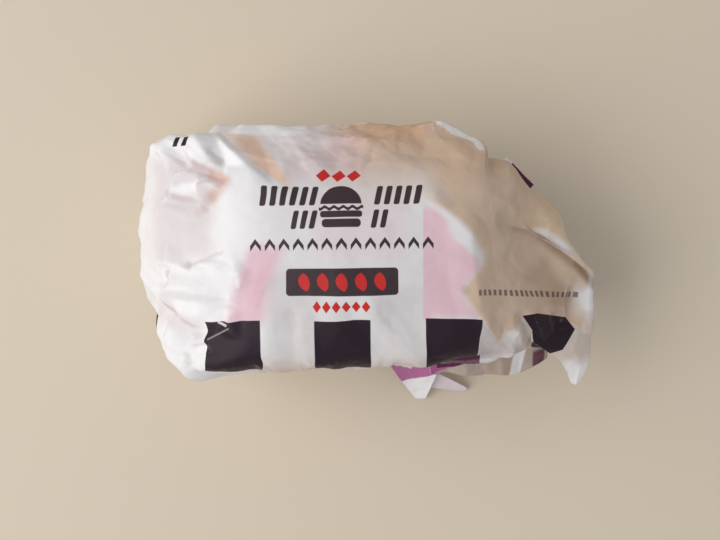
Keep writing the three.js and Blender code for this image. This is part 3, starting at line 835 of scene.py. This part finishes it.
# %% A socket that takes part in sums
class Wire:
    """A node's output socket with the signs of arithmetic."""

    def __init__(self, tree, socket=None):
        self.tree = tree
        self.socket = socket

    def node(self, kind, settings=None, inputs=None, output=0):
        """Adds any node: its settings first, then the values or wires of its sockets."""
        made = self.tree.nodes.new(kind)
        for key, value in (settings or {}).items():
            setattr(made, key, value)
        for key, value in (inputs or {}).items():
            if isinstance(value, Wire):
                self.tree.links.new(value.socket, made.inputs[key])
            else:
                made.inputs[key].default_value = value
        return Wire(self.tree, made.outputs[output])

    def other(self, output):
        """Another output of the same node."""
        return Wire(self.tree, self.socket.node.outputs[output])

    def maths(self, operation, *values):
        return self.node("ShaderNodeMath", {"operation": operation}, dict(enumerate(values)))

    def __add__(self, value):
        return self.maths("ADD", self, value)

    def __sub__(self, value):
        return self.maths("SUBTRACT", self, value)

    def __rsub__(self, value):
        return self.maths("SUBTRACT", value, self)

    def __mul__(self, value):
        return self.maths("MULTIPLY", self, value)

    def __truediv__(self, value):
        return self.maths("DIVIDE", self, value)

    def __abs__(self):
        return self.maths("ABSOLUTE", self)

    __radd__ = __add__
    __rmul__ = __mul__

    def largest(self, value):
        return self.maths("MAXIMUM", self, value)

    def smallest(self, value):
        return self.maths("MINIMUM", self, value)

    def fraction(self):
        return self.maths("FRACT", self)

    def sine(self):
        return self.maths("SINE", self)

    def root(self):
        return self.maths("SQRT", self)

    def clamped(self):
        return self.node("ShaderNodeClamp", None, {"Value": self})

    def rise(self, low, high):
        """0 up to low, 1 from high, smooth between."""
        return self.node(
            "ShaderNodeMapRange",
            {"interpolation_type": "SMOOTHSTEP"},
            {"Value": self, "From Min": low, "From Max": high},
        )

    def tint(self, under, over):
        """The colour under, covered by the colour over as far as this mask says."""
        return self.node("ShaderNodeMix", {"data_type": "RGBA"}, {0: self, 6: under, 7: over}, 2)


def length(a, b):
    """How long a line is from its two legs."""
    return (a * a + b * b).root()


def colour(red, green, blue):
    """A colour as seen on a screen, 0 to 255, as the linear colour that a shader wants."""

    def linear(value):
        share = value / 255
        return share / 12.92 if share <= 0.04045 else ((share + 0.055) / 1.055) ** 2.4

    return linear(red), linear(green), linear(blue), 1.0


# %% [markdown]
# ## Shapes to print with
# The real sheet carries a heading, a row of small signs, a dark tag and a band of dark squares. The heading
# and signs are replaced by plain shapes of the same weight and colours: leaning bars, a small burger, ticks,
# flames and diamonds. Each shape is a distance that is negative inside, and a soft step turns it into ink.

# %% Distances of the printed shapes
INK_EDGE = 0.16


def ink(distance):
    """1 inside a shape and 0 outside, with the slightly soft edge of print on thin paper."""
    return (0.5 - distance / INK_EDGE).clamped()


def bar(u, v, half_width, half_height):
    return (abs(u) - half_width).largest(abs(v) - half_height)


def round_bar(u, v, half_width, half_height, corner):
    a = (abs(u) - (half_width - corner)).largest(0.0)
    b = (abs(v) - (half_height - corner)).largest(0.0)
    return length(a, b) - corner


def diamond(u, v, half_width, half_height):
    return (abs(u) / half_width + abs(v) / half_height - 1) * min(half_width, half_height)


def disc(u, v, half_width, half_height):
    return (length(u / half_width, v / half_height) - 1) * min(half_width, half_height)


def flame(u, v, half_width, half_height):
    """A leaning drop: two discs that overlap, pointed at both ends and bent."""
    bent = u - 0.12 * v * v / half_height + 0.15 * v
    side = half_height * 1.15
    left = length(bent + (side - half_width), v) - side
    right = length(bent - (side - half_width), v) - side
    return left.largest(right)


def row(u, start, pitch, count):
    """u folded into one cell of a row, measured from the cell's middle, and a distance to the row's ends."""
    local = (((u - start) / pitch).fraction() - 0.5) * pitch
    half = pitch * count / 2
    return local, abs(u - (start + half)) - half


def joined(shapes):
    """One shape out of several."""
    whole, *others = shapes
    for shape in others:
        whole = whole.smallest(shape)
    return whole


# %% The dark print
# Rows of leaning bars: where a row starts, its pitch and count, its height, and half a bar's size.
BAR_ROWS = [
    (-29.5, 2.55, 6, 12.6, 0.78, 2.5), (0.2, 2.55, 5, 12.6, 0.78, 2.5),
    (-20.3, 2.4, 3, 6.4, 0.72, 2.4), (0.6, 2.4, 2, 6.4, 0.72, 2.4),
]


def dark_print(u, v):
    """Heading, burger sign, ticks and dashes, and the tag apart."""
    leaning = u - 0.22 * v
    bars = []
    for start, pitch, count, middle, half_width, half_height in BAR_ROWS:
        local, ends = row(leaning, start, pitch, count)
        bars.append(round_bar(local, v - middle, half_width, half_height, 0.5).largest(ends))
    across = u - LABEL_X
    bun = disc(across, v - 10.2, 5.4, 5.0).largest(10.4 - v)
    leaf = abs(v - 9.35 - 0.3 * (across * 2.6).sine()) - 0.42
    leaf = leaf.largest(abs(across) - 5.8)
    patty = round_bar(across, v - 7.75, 5.5, 0.85, 0.7)
    heel = round_bar(across, v - 5.4, 5.1, 1.1, 1.0)
    tick = row(u, -30.2, 3.78, 13)
    ticks = (abs(v - 0.9 + 1.35 * abs(tick[0])) - 0.72).largest(abs(tick[0]) - 1.4).largest(tick[1])
    tag = round_bar(u + 5.7, v + 10.0, 14.8, 3.6, 1.0)
    dash = row(u, 29.5, 1.85, 20)
    dashes = bar(dash[0], v + 13.0 + 0.045 * (u - 29), 0.52, 0.75).largest(dash[1])
    return ink(joined([*bars, bun, leaf, patty, heel, ticks, dashes])), ink(tag)


# %% The red print
def red_print(u, v):
    """Diamonds over the heading and under the tag, and the flames on the tag apart."""
    leaning = u - 0.25 * (v - 18)
    top = row(leaning, -12.2, 4.0, 3)
    top_marks = diamond(top[0], v - 18.0, 1.9, 1.6).largest(top[1])
    small = row(u, -13.6, 2.57, 6)
    small_marks = diamond(small[0], v + 16.4, 1.15, 1.5).largest(small[1])
    hot = row(u, -18.2, 5.0, 5)
    flames = flame(hot[0], v + 10.0, 1.5, 2.3).largest(hot[1])
    return ink(top_marks.smallest(small_marks)), ink(flames)


# %% Outlines with straight sides
def outside(x, y, start, end):
    """Distance of a point outside the straight line from start to end, whose left-hand side is inside."""
    run_x = end[0] - start[0]
    run_y = end[1] - start[1]
    run = math.hypot(run_x, run_y)
    return (x - start[0]) * (run_y / run) - (y - start[1]) * (run_x / run)


def far_square(x, y):
    """The last square as the folds leave it: a shield with a dent in its left side, seen from above."""
    corners = [
        (43.0, -19.2), (46.0, -23.2), (46.6, -28.0), (50.8, -30.5),
        (55.9, -29.2), (59.4, -23.4), (56.6, -20.0), (47.4, -18.6),
    ]
    sides = [outside(x, y, start, end) for start, end in zip(corners, corners[1:] + corners[:1])]
    shield = sides[0].smallest(sides[1])
    for side in sides[2:]:
        shield = shield.largest(side)
    return shield


# %% The band of squares
SQUARE = 14.65
BAND_TOP = -20.0
BAND_START = -13.0 - 2.5 * SQUARE
BAND_LOWER = 0.6


def band(u, v, x, y, z):
    """Dark squares at an even pitch along the front edge of the label, the outer ones cut by folds."""
    half = SQUARE / 2
    cell = row(u, BAND_START, 2 * SQUARE, 3)
    squares = bar(cell[0], v - BAND_TOP + half + BAND_LOWER, half, half + BAND_LOWER)
    squares = squares.largest(cell[1]).largest(26 - z)
    side = (x + 58.3 - 0.05 * (y + 25)).largest(abs(y + 25.5) - 6.0).largest(14 - z)
    corner = row(x - 0.35 * y, -62.6, 2.6, 2)
    corner_bars = bar(corner[0], y - 28.4, 0.7, 1.3).largest(corner[1]).largest(42 - z)
    far = far_square(x, y).largest(34 - z)
    return ink(squares.smallest(corner_bars)), ink(side.smallest(far))


# %% [markdown]
# ## The paper
# Thin greaseproof paper is white where it stands free and shows what lies under it where it touches: pink
# where another printed layer is beneath, tan where it lies on the bun. The stains are soft-edged zones
# with a ragged border, and some folds carry painted shade and painted light. On top come a mottled grain,
# creases whitened as a painted highlight, and a bump of fibres and tiny waves.

# %% Paper colours
WHITE = colour(242, 240, 240)
# the paper's own white, also used for painted highlights
HIGHLIGHT_AND_PAPER_WHITE = colour(253, 251, 252)
# painted shade in the valleys
PAINTED_SHADE_GREY = colour(184, 164, 162)
LABEL_GREY = colour(226, 223, 222)
DULL_WHITE = colour(224, 214, 215)
# painted highlight on sharp ridges
RIDGE_HIGHLIGHT_WHITE = colour(247, 245, 246)
STREAK_GREY = colour(198, 189, 188)
PINK = colour(233, 186, 198)
TAN = colour(214, 178, 146)
# painted shade in the pocket's valley and in the hem's pleats
SHADE_BROWN = colour(172, 132, 98)
SLOPE_TAN = colour(214, 186, 160)
SLOPE_SHADE = colour(150, 118, 92)
# painted light on the right end's upper panel
PANEL_PAINTED_LIGHT = colour(242, 216, 176)
BUN_BROWN = colour(214, 158, 108)
BUN_LIGHT = colour(244, 198, 166)
# painted shadow in the pocket under the lifted edge
POCKET_SHADOW = colour(212, 168, 148)
INK_DARK = colour(62, 46, 50)
INK_SQUARE = colour(38, 20, 34)
INK_RED = colour(205, 44, 40)
MAGENTA = colour(188, 104, 158)
# the magenta print darkened as painted shade
MAGENTA_IN_SHADE = colour(92, 34, 66)


# %% Start a paper material
MOTTLE_SCALE = 420
FIBRE_SCALE = 2600
RIPPLE_SCALE = 260


def start_material(name):
    """A material with its shader, and wires for place in metres, sheet in millimetres and creases."""
    material = bpy.data.materials.new(name)
    material.use_nodes = True
    tree = material.node_tree
    shader = tree.nodes["Principled BSDF"]
    board = Wire(tree)
    place = board.node("ShaderNodeTexCoord", None, None, "Object")
    sheet = board.node("ShaderNodeAttribute", {"attribute_name": "sheet"}, None, "Vector")
    crease = board.node("ShaderNodeAttribute", {"attribute_name": "crease"}, None, "Fac")
    return material, shader, board, place, sheet, crease


def axes(vector, scale=1.0, shift=(0, 0, 0)):
    """The three parts of a vector, scaled and shifted."""
    pale_creases = vector.node("ShaderNodeSeparateXYZ", None, {0: vector})
    return [pale_creases.other(k) * scale - shift[k] for k in range(3)]


def noise(place, scale, detail=3.0, rough=0.5):
    """Cloud noise between 0 and 1, about scale to the metre."""
    return place.node(
        "ShaderNodeTexNoise", None, {"Vector": place, "Scale": scale, "Detail": detail, "Roughness": rough}
    )


def finish_paper(shader, board, place, base, crease, roughness, ridge_highlight):
    """Adds the grain, the painted highlight on sharp creases and the bump that all pieces of the sheet
    share.
    """
    mottle = noise(place, MOTTLE_SCALE, 4.0, 0.6)
    fibres = noise(place, FIBRE_SCALE, 2.0, 0.5)
    grain = 0.93 + 0.09 * mottle + 0.05 * (fibres - 0.5)
    grey = board.node("ShaderNodeCombineColor", None, {0: grain, 1: grain, 2: grain})
    toned = board.node(
        "ShaderNodeMix", {"data_type": "RGBA", "blend_type": "MULTIPLY"}, {0: 1.0, 6: base, 7: grey}, 2
    )
    # sharp ridges are painted paler as a highlight
    lit_ridges = crease.rise(0.03, 0.14) * ridge_highlight
    pale = lit_ridges.tint(toned, RIDGE_HIGHLIGHT_WHITE)
    board.tree.links.new(pale.socket, shader.inputs["Base Color"])
    rough = roughness + 0.10 * (mottle - 0.5)
    board.tree.links.new(rough.socket, shader.inputs["Roughness"])
    ripple = noise(place, RIPPLE_SCALE, 3.0, 0.55)
    height = 0.00012 * ripple + 0.000018 * mottle + 0.000008 * fibres
    bump = board.node("ShaderNodeBump", None, {"Strength": 0.6, "Distance": 1.0, "Height": height})
    board.tree.links.new(bump.socket, shader.inputs["Normal"])
    shader.inputs["Specular IOR Level"].default_value = 0.3


# %% Zones and strokes
def zone(x, y, middle, half, soft, lean=0.0):
    """1 in a rounded box that leans by lean, fading over soft at its border."""
    a = (abs(x - middle[0] - lean * (y - middle[1])) - half[0]).largest(0.0)
    b = (abs(y - middle[1]) - half[1]).largest(0.0)
    return 1 - length(a, b).rise(0.0, soft)


def stroke(x, y, start, end, half_width, soft):
    """1 along a straight line, fading over soft at both of its sides and its ends."""
    run_x = end[0] - start[0]
    run_y = end[1] - start[1]
    run = math.hypot(run_x, run_y)
    along = (x - start[0]) * (run_x / run) + (y - start[1]) * (run_y / run)
    across = (x - start[0]) * (run_y / run) - (y - start[1]) * (run_x / run)
    past = (abs(along - run / 2) - run / 2).largest(0.0)
    return 1 - length(past, (abs(across) - half_width).largest(0.0)).rise(0.0, soft)


# %% Borders that several stains share
def right_rim_highlight(x, y):
    """How far the paper beside the right end, below the folded panel, is kept pale as a painted highlight on
    a facet that faces the light.
    """
    return 0.5 * (x + 0.12 * y).rise(54.5, 59.5) * (1 - y.rise(-14, -8)) * y.rise(-22, -17)


def print_edge(x, y):
    """Distance past the line where the flat print side ends and the right slope begins."""
    arc = (y + 4).largest(0.0)
    notch = (1 - abs(y + 12.6) / 7.3).largest(0.0)
    return x - (31.4 - 0.056 * arc * arc - 6 * notch)


def pale_facets(x, y):
    """Two flat facets beside the arrow of tan paper between the third square and the last."""
    left = outside(x, y, (31.1, -19.5), (36.5, -25.9)).rise(0, 0.6) * x.rise(30.6, 31.4)
    right = outside(x, y, (36.5, -25.9), (43.0, -19.8)).rise(0, 0.8) * (1 - x.rise(43, 49))
    return 0.6 * left * (1 - x.rise(36, 39)) + 0.3 * right * (1 - y.rise(-20, -18))


def parcel_places(place):
    """Wires that the stains share. Borders that read near_x and near_y wander with the noise."""
    at = SimpleNamespace()
    at.x, at.y, at.z = axes(place, 1 / MM, ORIGIN_SHIFT)
    at.drift = noise(place, 75, 3.0, 0.6)
    at.fine_drift = noise(place, 160, 2.0, 0.6)
    at.ragged = 5.0 * (at.drift - 0.5) + 1.8 * (at.fine_drift - 0.5)
    at.near_x = at.x + at.ragged
    at.near_y = at.y + 4.0 * (at.fine_drift - 0.5) - 3.0 * (at.drift - 0.5)
    at.shoulder = at.z.rise(8, 28)
    at.past_print = print_edge(at.x, at.y)
    at.free = at.near_y.rise(-6, 4)
    return at


# %% Greys of the label side
def grey_paper(at):
    """Plain paper, greyer over the filling than over the free left end, with painted shade along one valley.
    """
    over = zone(at.near_x, at.near_y, (3, -6), (25, 26), 10)
    paper = (over * 0.85).tint(WHITE, LABEL_GREY)
    dull_and_shade = zone(at.near_x, at.near_y, (-49.5, 10), (6, 11), 6.5)
    # the stroke along the long valley to the front corner is painted shade
    dull_and_shade = dull_and_shade.largest(stroke(at.near_x, at.near_y, (-56, -17), (-45, -24), 1, 4) * 0.7)
    paper = (dull_and_shade * 0.8).tint(paper, DULL_WHITE)
    left_streak = zone(at.near_x, at.near_y, (-19, -22), (4, 12), 6)
    right_streak = zone(at.near_x, at.near_y, (10, -24), (4, 9), 6)
    streaks = left_streak.largest(right_streak * 0.8)
    return (streaks * (0.1 + 0.6 * at.drift)).tint(paper, STREAK_GREY)


# %% Tan of the bun, and painted shade on the right slope and at the lower edge
def bun_tan_and_painted_shade(at, paper):
    """Tan of the bun at the crown side and on the right slope, painted shade low on the right slope, and tan
    painted shade along the lower edge.
    """
    x, y, near_x, near_y = at.x, at.y, at.near_x, at.near_y
    past_edge = outside(x, y, (-20.5, 14.5), (-38.5, 28.8)).rise(-0.2, 0.7)
    crown = near_y.rise(6, 27) * past_edge * (0.16 + 0.68 * near_x.rise(-14, 4)) * at.shoulder
    paper = (crown * (0.7 + 0.5 * at.drift)).tint(paper, TAN)
    browned = near_y.rise(23, 33) * zone(near_x, near_y, (6, 30), (10, 9), 9) * at.shoulder
    paper = (browned * 0.4).tint(paper, BUN_BROWN)
    slope = (at.past_print + 0.3 * at.ragged + 0.8 * at.free).rise(-1.8, 1.8)
    slope = slope * (1 - (1 - x.rise(14, 24)) * y.rise(9, 13))
    slope = slope * (1 - right_rim_highlight(x, y)) * (0.8 + 0.3 * at.drift) * at.shoulder
    slope = slope * (1 - pale_facets(x, y))
    paper = slope.tint(paper, SLOPE_TAN)
    # painted shade low on the right slope
    low_slope_shade = stroke(near_x, near_y, (48, -7.5), (55.5, -15.5), 1.6, 4.5) * (1 - right_rim_highlight(x, y))
    paper = (low_slope_shade * 0.36).tint(paper, SLOPE_SHADE)
    paper = (pale_facets(x, y) * 1.5).clamped().tint(paper, STREAK_GREY)
    # tan painted shade where the paper turns down at the lower edge
    lower_edge_shade = (1 - near_y.rise(-37, -27)) * x.rise(-34, -24) * (1 - x.rise(20, 30)) * at.shoulder
    paper = (lower_edge_shade * 0.55).tint(paper, SLOPE_TAN)
    triangle = zone(x, y, (-28.0, 23.5), (1.6, 6.0), 3.6, -0.75)
    return (triangle * past_edge * (0.45 + 0.4 * at.drift)).tint(paper, BUN_LIGHT)


# %% Pink of the printed layer beneath
def over_pink(at, paper):
    """Pink where two layers touch, and the whitish arc that bounds the print side."""
    x, y, near_x, near_y = at.x, at.y, at.near_x, at.near_y
    left_pink = zone(near_x, near_y, (-28.7, -10.5), (2.4, 8.0), 4.6, 0.3)
    right_pink = x.rise(15.4, 16.0) * zone(near_x, near_y, (20, -5), (14, 13), 3)
    nearer = 3 * at.free + 3.4 * (1 - abs(y - 1) / 7).largest(0.0)
    right_pink = right_pink * (1 - (at.past_print + 0.4 * at.ragged + nearer).rise(-1.6, 1.0))
    centre_pink = zone(near_x, near_y, (-1, 4), (9, 4.5), 6)
    upper_pink = zone(near_x, near_y, (-10, 24), (7, 4), 5)
    pinks = (left_pink * 0.8).largest(right_pink * 0.76).largest(centre_pink * 0.22)
    pinks = pinks.largest(upper_pink * 0.3) * (0.72 + 0.5 * at.fine_drift) * at.shoulder
    paper = pinks.clamped().tint(paper, PINK)
    arc = (at.past_print + 0.4 * at.ragged).rise(-4.6, -1.6)
    arc = arc * (1 - (at.past_print + 0.2 * at.ragged).rise(-1.0, 1.6))
    arc = arc * at.free * (1 - y.rise(10.5, 13))
    return (arc * 0.16).tint(paper, HIGHLIGHT_AND_PAPER_WHITE)


# %% Painted shadow in the pocket, painted shade under the right end's upper panel, and painted light on that panel
def in_folds(at, paper):
    x, y = at.x, at.y
    # painted shadow in the pocket under the lifted edge
    pocket_shadow = stroke(x, y, (-40.5, 18.7), (-36.4, 16.6), 0.4, 2.4)
    pocket_shadow = pocket_shadow.largest(stroke(x, y, (-36.4, 16.6), (-40.5, 12.6), 0.4, 2.6) * 0.7)
    paper = (pocket_shadow * (0.5 + 0.4 * at.fine_drift)).tint(paper, POCKET_SHADOW)
    # painted shade down the valley below the pocket
    valley_shade = stroke(x, y, (-40.5, 12.6), (-44.5, 8.5), 0.2, 2.2)
    paper = (valley_shade * 0.18).tint(paper, SHADE_BROWN)
    # painted shadow under the edge of the right end's upper panel
    under = stroke(x, y, (41.5, 4.6), (48.8, 2.6), 0.0, 2.2) * 0.35
    under = under.largest(stroke(x, y, (48.8, 2.6), (59.2, -5.0), 0.1, 2.8) * 0.7)
    under = under.largest(stroke(x, y, (59.2, -5.0), (65.6, -11.5), 0.1, 2.2) * 0.9)
    upper_line = outside(x, y, (41.5, 5.0), (48.8, 3.2))
    below = upper_line.smallest(outside(x, y, (48.8, 3.2), (59.2, -4.4)))
    paper = (under * below.rise(-0.2, 0.3) * at.z.rise(27, 34)).tint(paper, SLOPE_SHADE)
    # painted light on the upper panel, which faces the light
    lit_panel = x.rise(42, 54) * (1 - below.rise(-0.4, 0.2)) * at.shoulder
    return (lit_panel * 0.55).tint(paper, PANEL_PAINTED_LIGHT)


# %% Print on the parcel
def print_on(at, sheet, paper):
    """The printed paper, and a mask of the ink for its smoother finish."""
    u, v, face_up = axes(sheet)
    x, y, z = at.x, at.y, at.z
    dark, tag = dark_print(u, v)
    red, hot = red_print(u, v)
    squares, side = band(u, v, x, y, z)
    label = face_up.rise(0.25, 0.55)
    dark = dark * (1 - 0.3 * x.rise(28, 29))
    body = ((dark + tag) * label).tint(paper, INK_DARK)
    body = ((red + hot) * label).clamped().tint(body, INK_RED)
    # the first square is paler along two of its creases
    pale_creases = stroke(x, y, (-41.5, -25.4), (-35.6, -22.4), 0.05, 0.3) * 0.3
    pale_creases = pale_creases.largest(stroke(x, y, (-38.4, -20.7), (-36.3, -21.6), 0.12, 0.4) * 0.8)
    body = ((squares + side).clamped() * (1 - pale_creases)).tint(body, INK_SQUARE)
    # the layer below carries the band in magenta, seen under the third square, darkened there as painted
    # shade
    under_band = bar(u, v - BAND_TOP + SQUARE + 6, 40, 5).largest(abs(x - 24) - 8)
    under_band = ink(under_band.largest(30 - z))
    body = under_band.tint(body, MAGENTA_IN_SHADE)
    return body, ((dark + tag) * label + squares + side + under_band).clamped()


# %% The parcel's paper
def parcel_paper():
    material, shader, board, place, sheet, crease = start_material("printed_paper")
    painted_light = board.node("ShaderNodeAttribute", {"attribute_name": "painted_light"}, None, "Fac")
    at = parcel_places(place)
    paper = in_folds(at, over_pink(at, bun_tan_and_painted_shade(at, grey_paper(at))))
    # painted highlight where the strokes are above 0, and painted shade where they are below
    paper = painted_light.clamped().tint(paper, HIGHLIGHT_AND_PAPER_WHITE)
    paper = (0 - painted_light).clamped().tint(paper, PAINTED_SHADE_GREY)
    base, inked = print_on(at, sheet, paper)
    finish_paper(shader, board, place, base, crease, 0.72 - 0.2 * inked, 0.4 - 0.3 * inked)
    return material


parcel_material = parcel_paper()
print(parcel_material.name, "has", len(parcel_material.node_tree.nodes), "nodes")


# %% [markdown]
# ## Paper of the flaps
# The ear is white at its tip and tan where it joins the slope, and the last square runs over onto it. The
# curled hem is the inner side of the sheet, a greyish cream darkened as painted shade, with painted shade
# in its pleats and one white turned corner, and the band runs on over both of its ends in magenta that is
# darkened as painted shade in places. The tails are white with a magenta field at their roots.

# %% Materials of the flaps
# the hem's cream is darker than the sheet as painted shade
SHADED_CREAM = colour(184, 166, 152)
ROSE_WHITE = colour(240, 224, 230)


def flap_paper(name, plain, shade):
    """Paper of one flap. shade(sheet, place, paper) lays stains, print and painted shade over the plain
    colour.
    """
    material, shader, board, place, sheet, crease = start_material(name)
    drift = noise(place, 300, 2.0, 0.5)
    base = shade(sheet, place, (0.25 * drift).tint(plain, LABEL_GREY))
    finish_paper(shader, board, place, base, crease, roughness=0.7, ridge_highlight=0.2)
    return material


def stripe(share, middle, half_width, crispness):
    """1 where a share of the flap is within half_width of middle."""
    return ink((abs(share - middle) - half_width) * crispness)


def ear_shade(sheet, place, paper):
    v = axes(sheet)[1]
    x, y, _ = axes(place, 1 / MM, ORIGIN_SHIFT)
    joint = (1 - right_rim_highlight(x, y)) * (1 - v.rise(0.5, 0.72))
    paper = (joint * 0.6).tint(paper, SLOPE_TAN)
    return ink(far_square(x, y)).tint(paper, INK_SQUARE)


def hem_shade(sheet, place, paper):
    u, v, _ = axes(sheet)
    # painted shade in the pleats
    pleats = stripe(u - 0.05 * v, 0.49, 0.05, 3).largest(stripe(u, 0.66, 0.05, 3))
    paper = (pleats * 0.35).tint(paper, SHADE_BROWN)
    turned = stripe(u + 0.06 * v, 0.78, 0.05, 9)
    paper = (turned * 0.8).tint(paper, HIGHLIGHT_AND_PAPER_WHITE)
    root = ink((v - 1.05 + 1.75 * u) * 6) * ink((u - 0.5) * 9)
    paper = root.tint(paper, MAGENTA)
    # the magenta is darker under the parcel's edge as painted shade
    deep = root * ink((v - 0.8 + 0.5 * u) * 9) * ink((0.06 - u) * 9)
    paper = deep.tint(paper, MAGENTA_IN_SHADE)
    # a darker magenta stripe near the end, as painted shade
    end = stripe(u, 0.92, 0.05, 9) * v.rise(0.3, 0.5)
    return (end * 0.9).tint(paper, MAGENTA_IN_SHADE)


def long_tail_shade(sheet, place, paper):
    u, v, _ = axes(sheet)
    return (ink((v - 0.65 + 0.14 * u) * 9) * 0.95).tint(paper, MAGENTA)


def short_tail_shade(sheet, place, paper):
    return (ink((axes(sheet)[1] - 0.14) * 9) * 0.95).tint(paper, MAGENTA)


def back_hem_shade(sheet, place, paper):
    # magenta darkened as painted shade
    return ink((0.22 - axes(sheet)[0]) * 9).tint(paper, MAGENTA_IN_SHADE)


materials = {
    "corner_ear": flap_paper("ear_paper", HIGHLIGHT_AND_PAPER_WHITE, ear_shade),
    "curled_hem": flap_paper("hem_paper", SHADED_CREAM, hem_shade),
    "long_tail": flap_paper("long_tail_paper", HIGHLIGHT_AND_PAPER_WHITE, long_tail_shade),
    "short_tail": flap_paper("short_tail_paper", ROSE_WHITE, short_tail_shade),
    "back_hem": flap_paper("back_hem_paper", WHITE, back_hem_shade),
}
print("papers of the flaps:", [material.name for material in materials.values()])

# %% Crinkle every piece
calm_parcel = np.maximum(np.maximum(on_label, 1 - near_table), 0.5 * facing_up)
crinkled(parcel, parcel_material, cell=7.5, depth=0.55, calm_depth=0.04, calm=calm_parcel)
for flap in flaps:
    never_calm = np.zeros(len(flap.data.vertices))
    crinkled(flap, materials[flap.name], cell=4.0, depth=0.22, calm_depth=0.0, calm=never_calm)

# %% [markdown]
# ## Floor, light and camera
# The parcel lies on a plain pale floor. A wide soft light stands half up on the left, as a window would, and
# the pale surroundings fill the shadows. The camera looks straight down from about 35 cm.

# %% Floor
# The floor lies a tenth of a millimetre low, so that it and the flat foot never share a plane.
FLOOR_Z = -0.0001
FLOOR_HALF = 3
FLOOR_PAINT = colour(222, 208, 186)
floor_mesh = bpy.data.meshes.new("floor")
floor_corners = [
    (FLOOR_HALF * side_x, FLOOR_HALF * side_y, FLOOR_Z)
    for side_x, side_y in ((-1, -1), (1, -1), (1, 1), (-1, 1))
]
floor_mesh.from_pydata(floor_corners, [], [(0, 1, 2, 3)])
floor = bpy.data.objects.new("floor", floor_mesh)
bpy.context.scene.collection.objects.link(floor)
floor_material = bpy.data.materials.new("floor_paint")
floor_material.use_nodes = True
floor_shader = floor_material.node_tree.nodes["Principled BSDF"]
floor_shader.inputs["Base Color"].default_value = FLOOR_PAINT
floor_shader.inputs["Roughness"].default_value = 0.7
floor_mesh.materials.append(floor_material)
print("floor", 2 * FLOOR_HALF, "m wide")

# %% Light
WINDOW_RISE = math.radians(46)
WINDOW_WATTS = 8.6
ROOM_STRENGTH = 0.46
WINDOW_DISTANCE = 1.1
WINDOW_Y = -0.1
window = bpy.data.lights.new("window", "AREA")
window.shape = "RECTANGLE"
window.size = 1.2
window.size_y = 0.9
window.energy = WINDOW_WATTS
window.color = (1.0, 0.985, 0.97)
window_light = bpy.data.objects.new("window", window)
window_light.location = (
    -WINDOW_DISTANCE * math.cos(WINDOW_RISE),
    WINDOW_Y,
    WINDOW_DISTANCE * math.sin(WINDOW_RISE),
)
window_light.rotation_euler = (-window_light.location).to_track_quat("-Z", "Y").to_euler()
bpy.context.scene.collection.objects.link(window_light)

world = bpy.data.worlds.new("room")
world.use_nodes = True
background = world.node_tree.nodes["Background"]
background.inputs["Color"].default_value = (0.93, 0.95, 1.0, 1.0)
background.inputs["Strength"].default_value = ROOM_STRENGTH
bpy.context.scene.world = world
bpy.context.scene.view_settings.view_transform = "Standard"
print("window at", [round(part, 2) for part in window_light.location], "m")

# %% Camera
CAMERA_HEIGHT = 351.5
CAMERA_X = -0.8
CAMERA_Y = -6.85
camera_data = bpy.data.cameras.new("camera")
camera_data.sensor_width = 36
camera_data.lens = 55
camera = bpy.data.objects.new("camera", camera_data)
camera.location = (np.array([CAMERA_X, CAMERA_Y, CAMERA_HEIGHT]) + ORIGIN_SHIFT) * MM
bpy.context.scene.collection.objects.link(camera)
bpy.context.scene.camera = camera
print("camera at", [round(part, 4) for part in camera.location], "m")

# %% Put the pieces under the root and hide the solid part
for piece in [parcel] + flaps:
    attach(piece, "root")
    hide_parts(NODE)
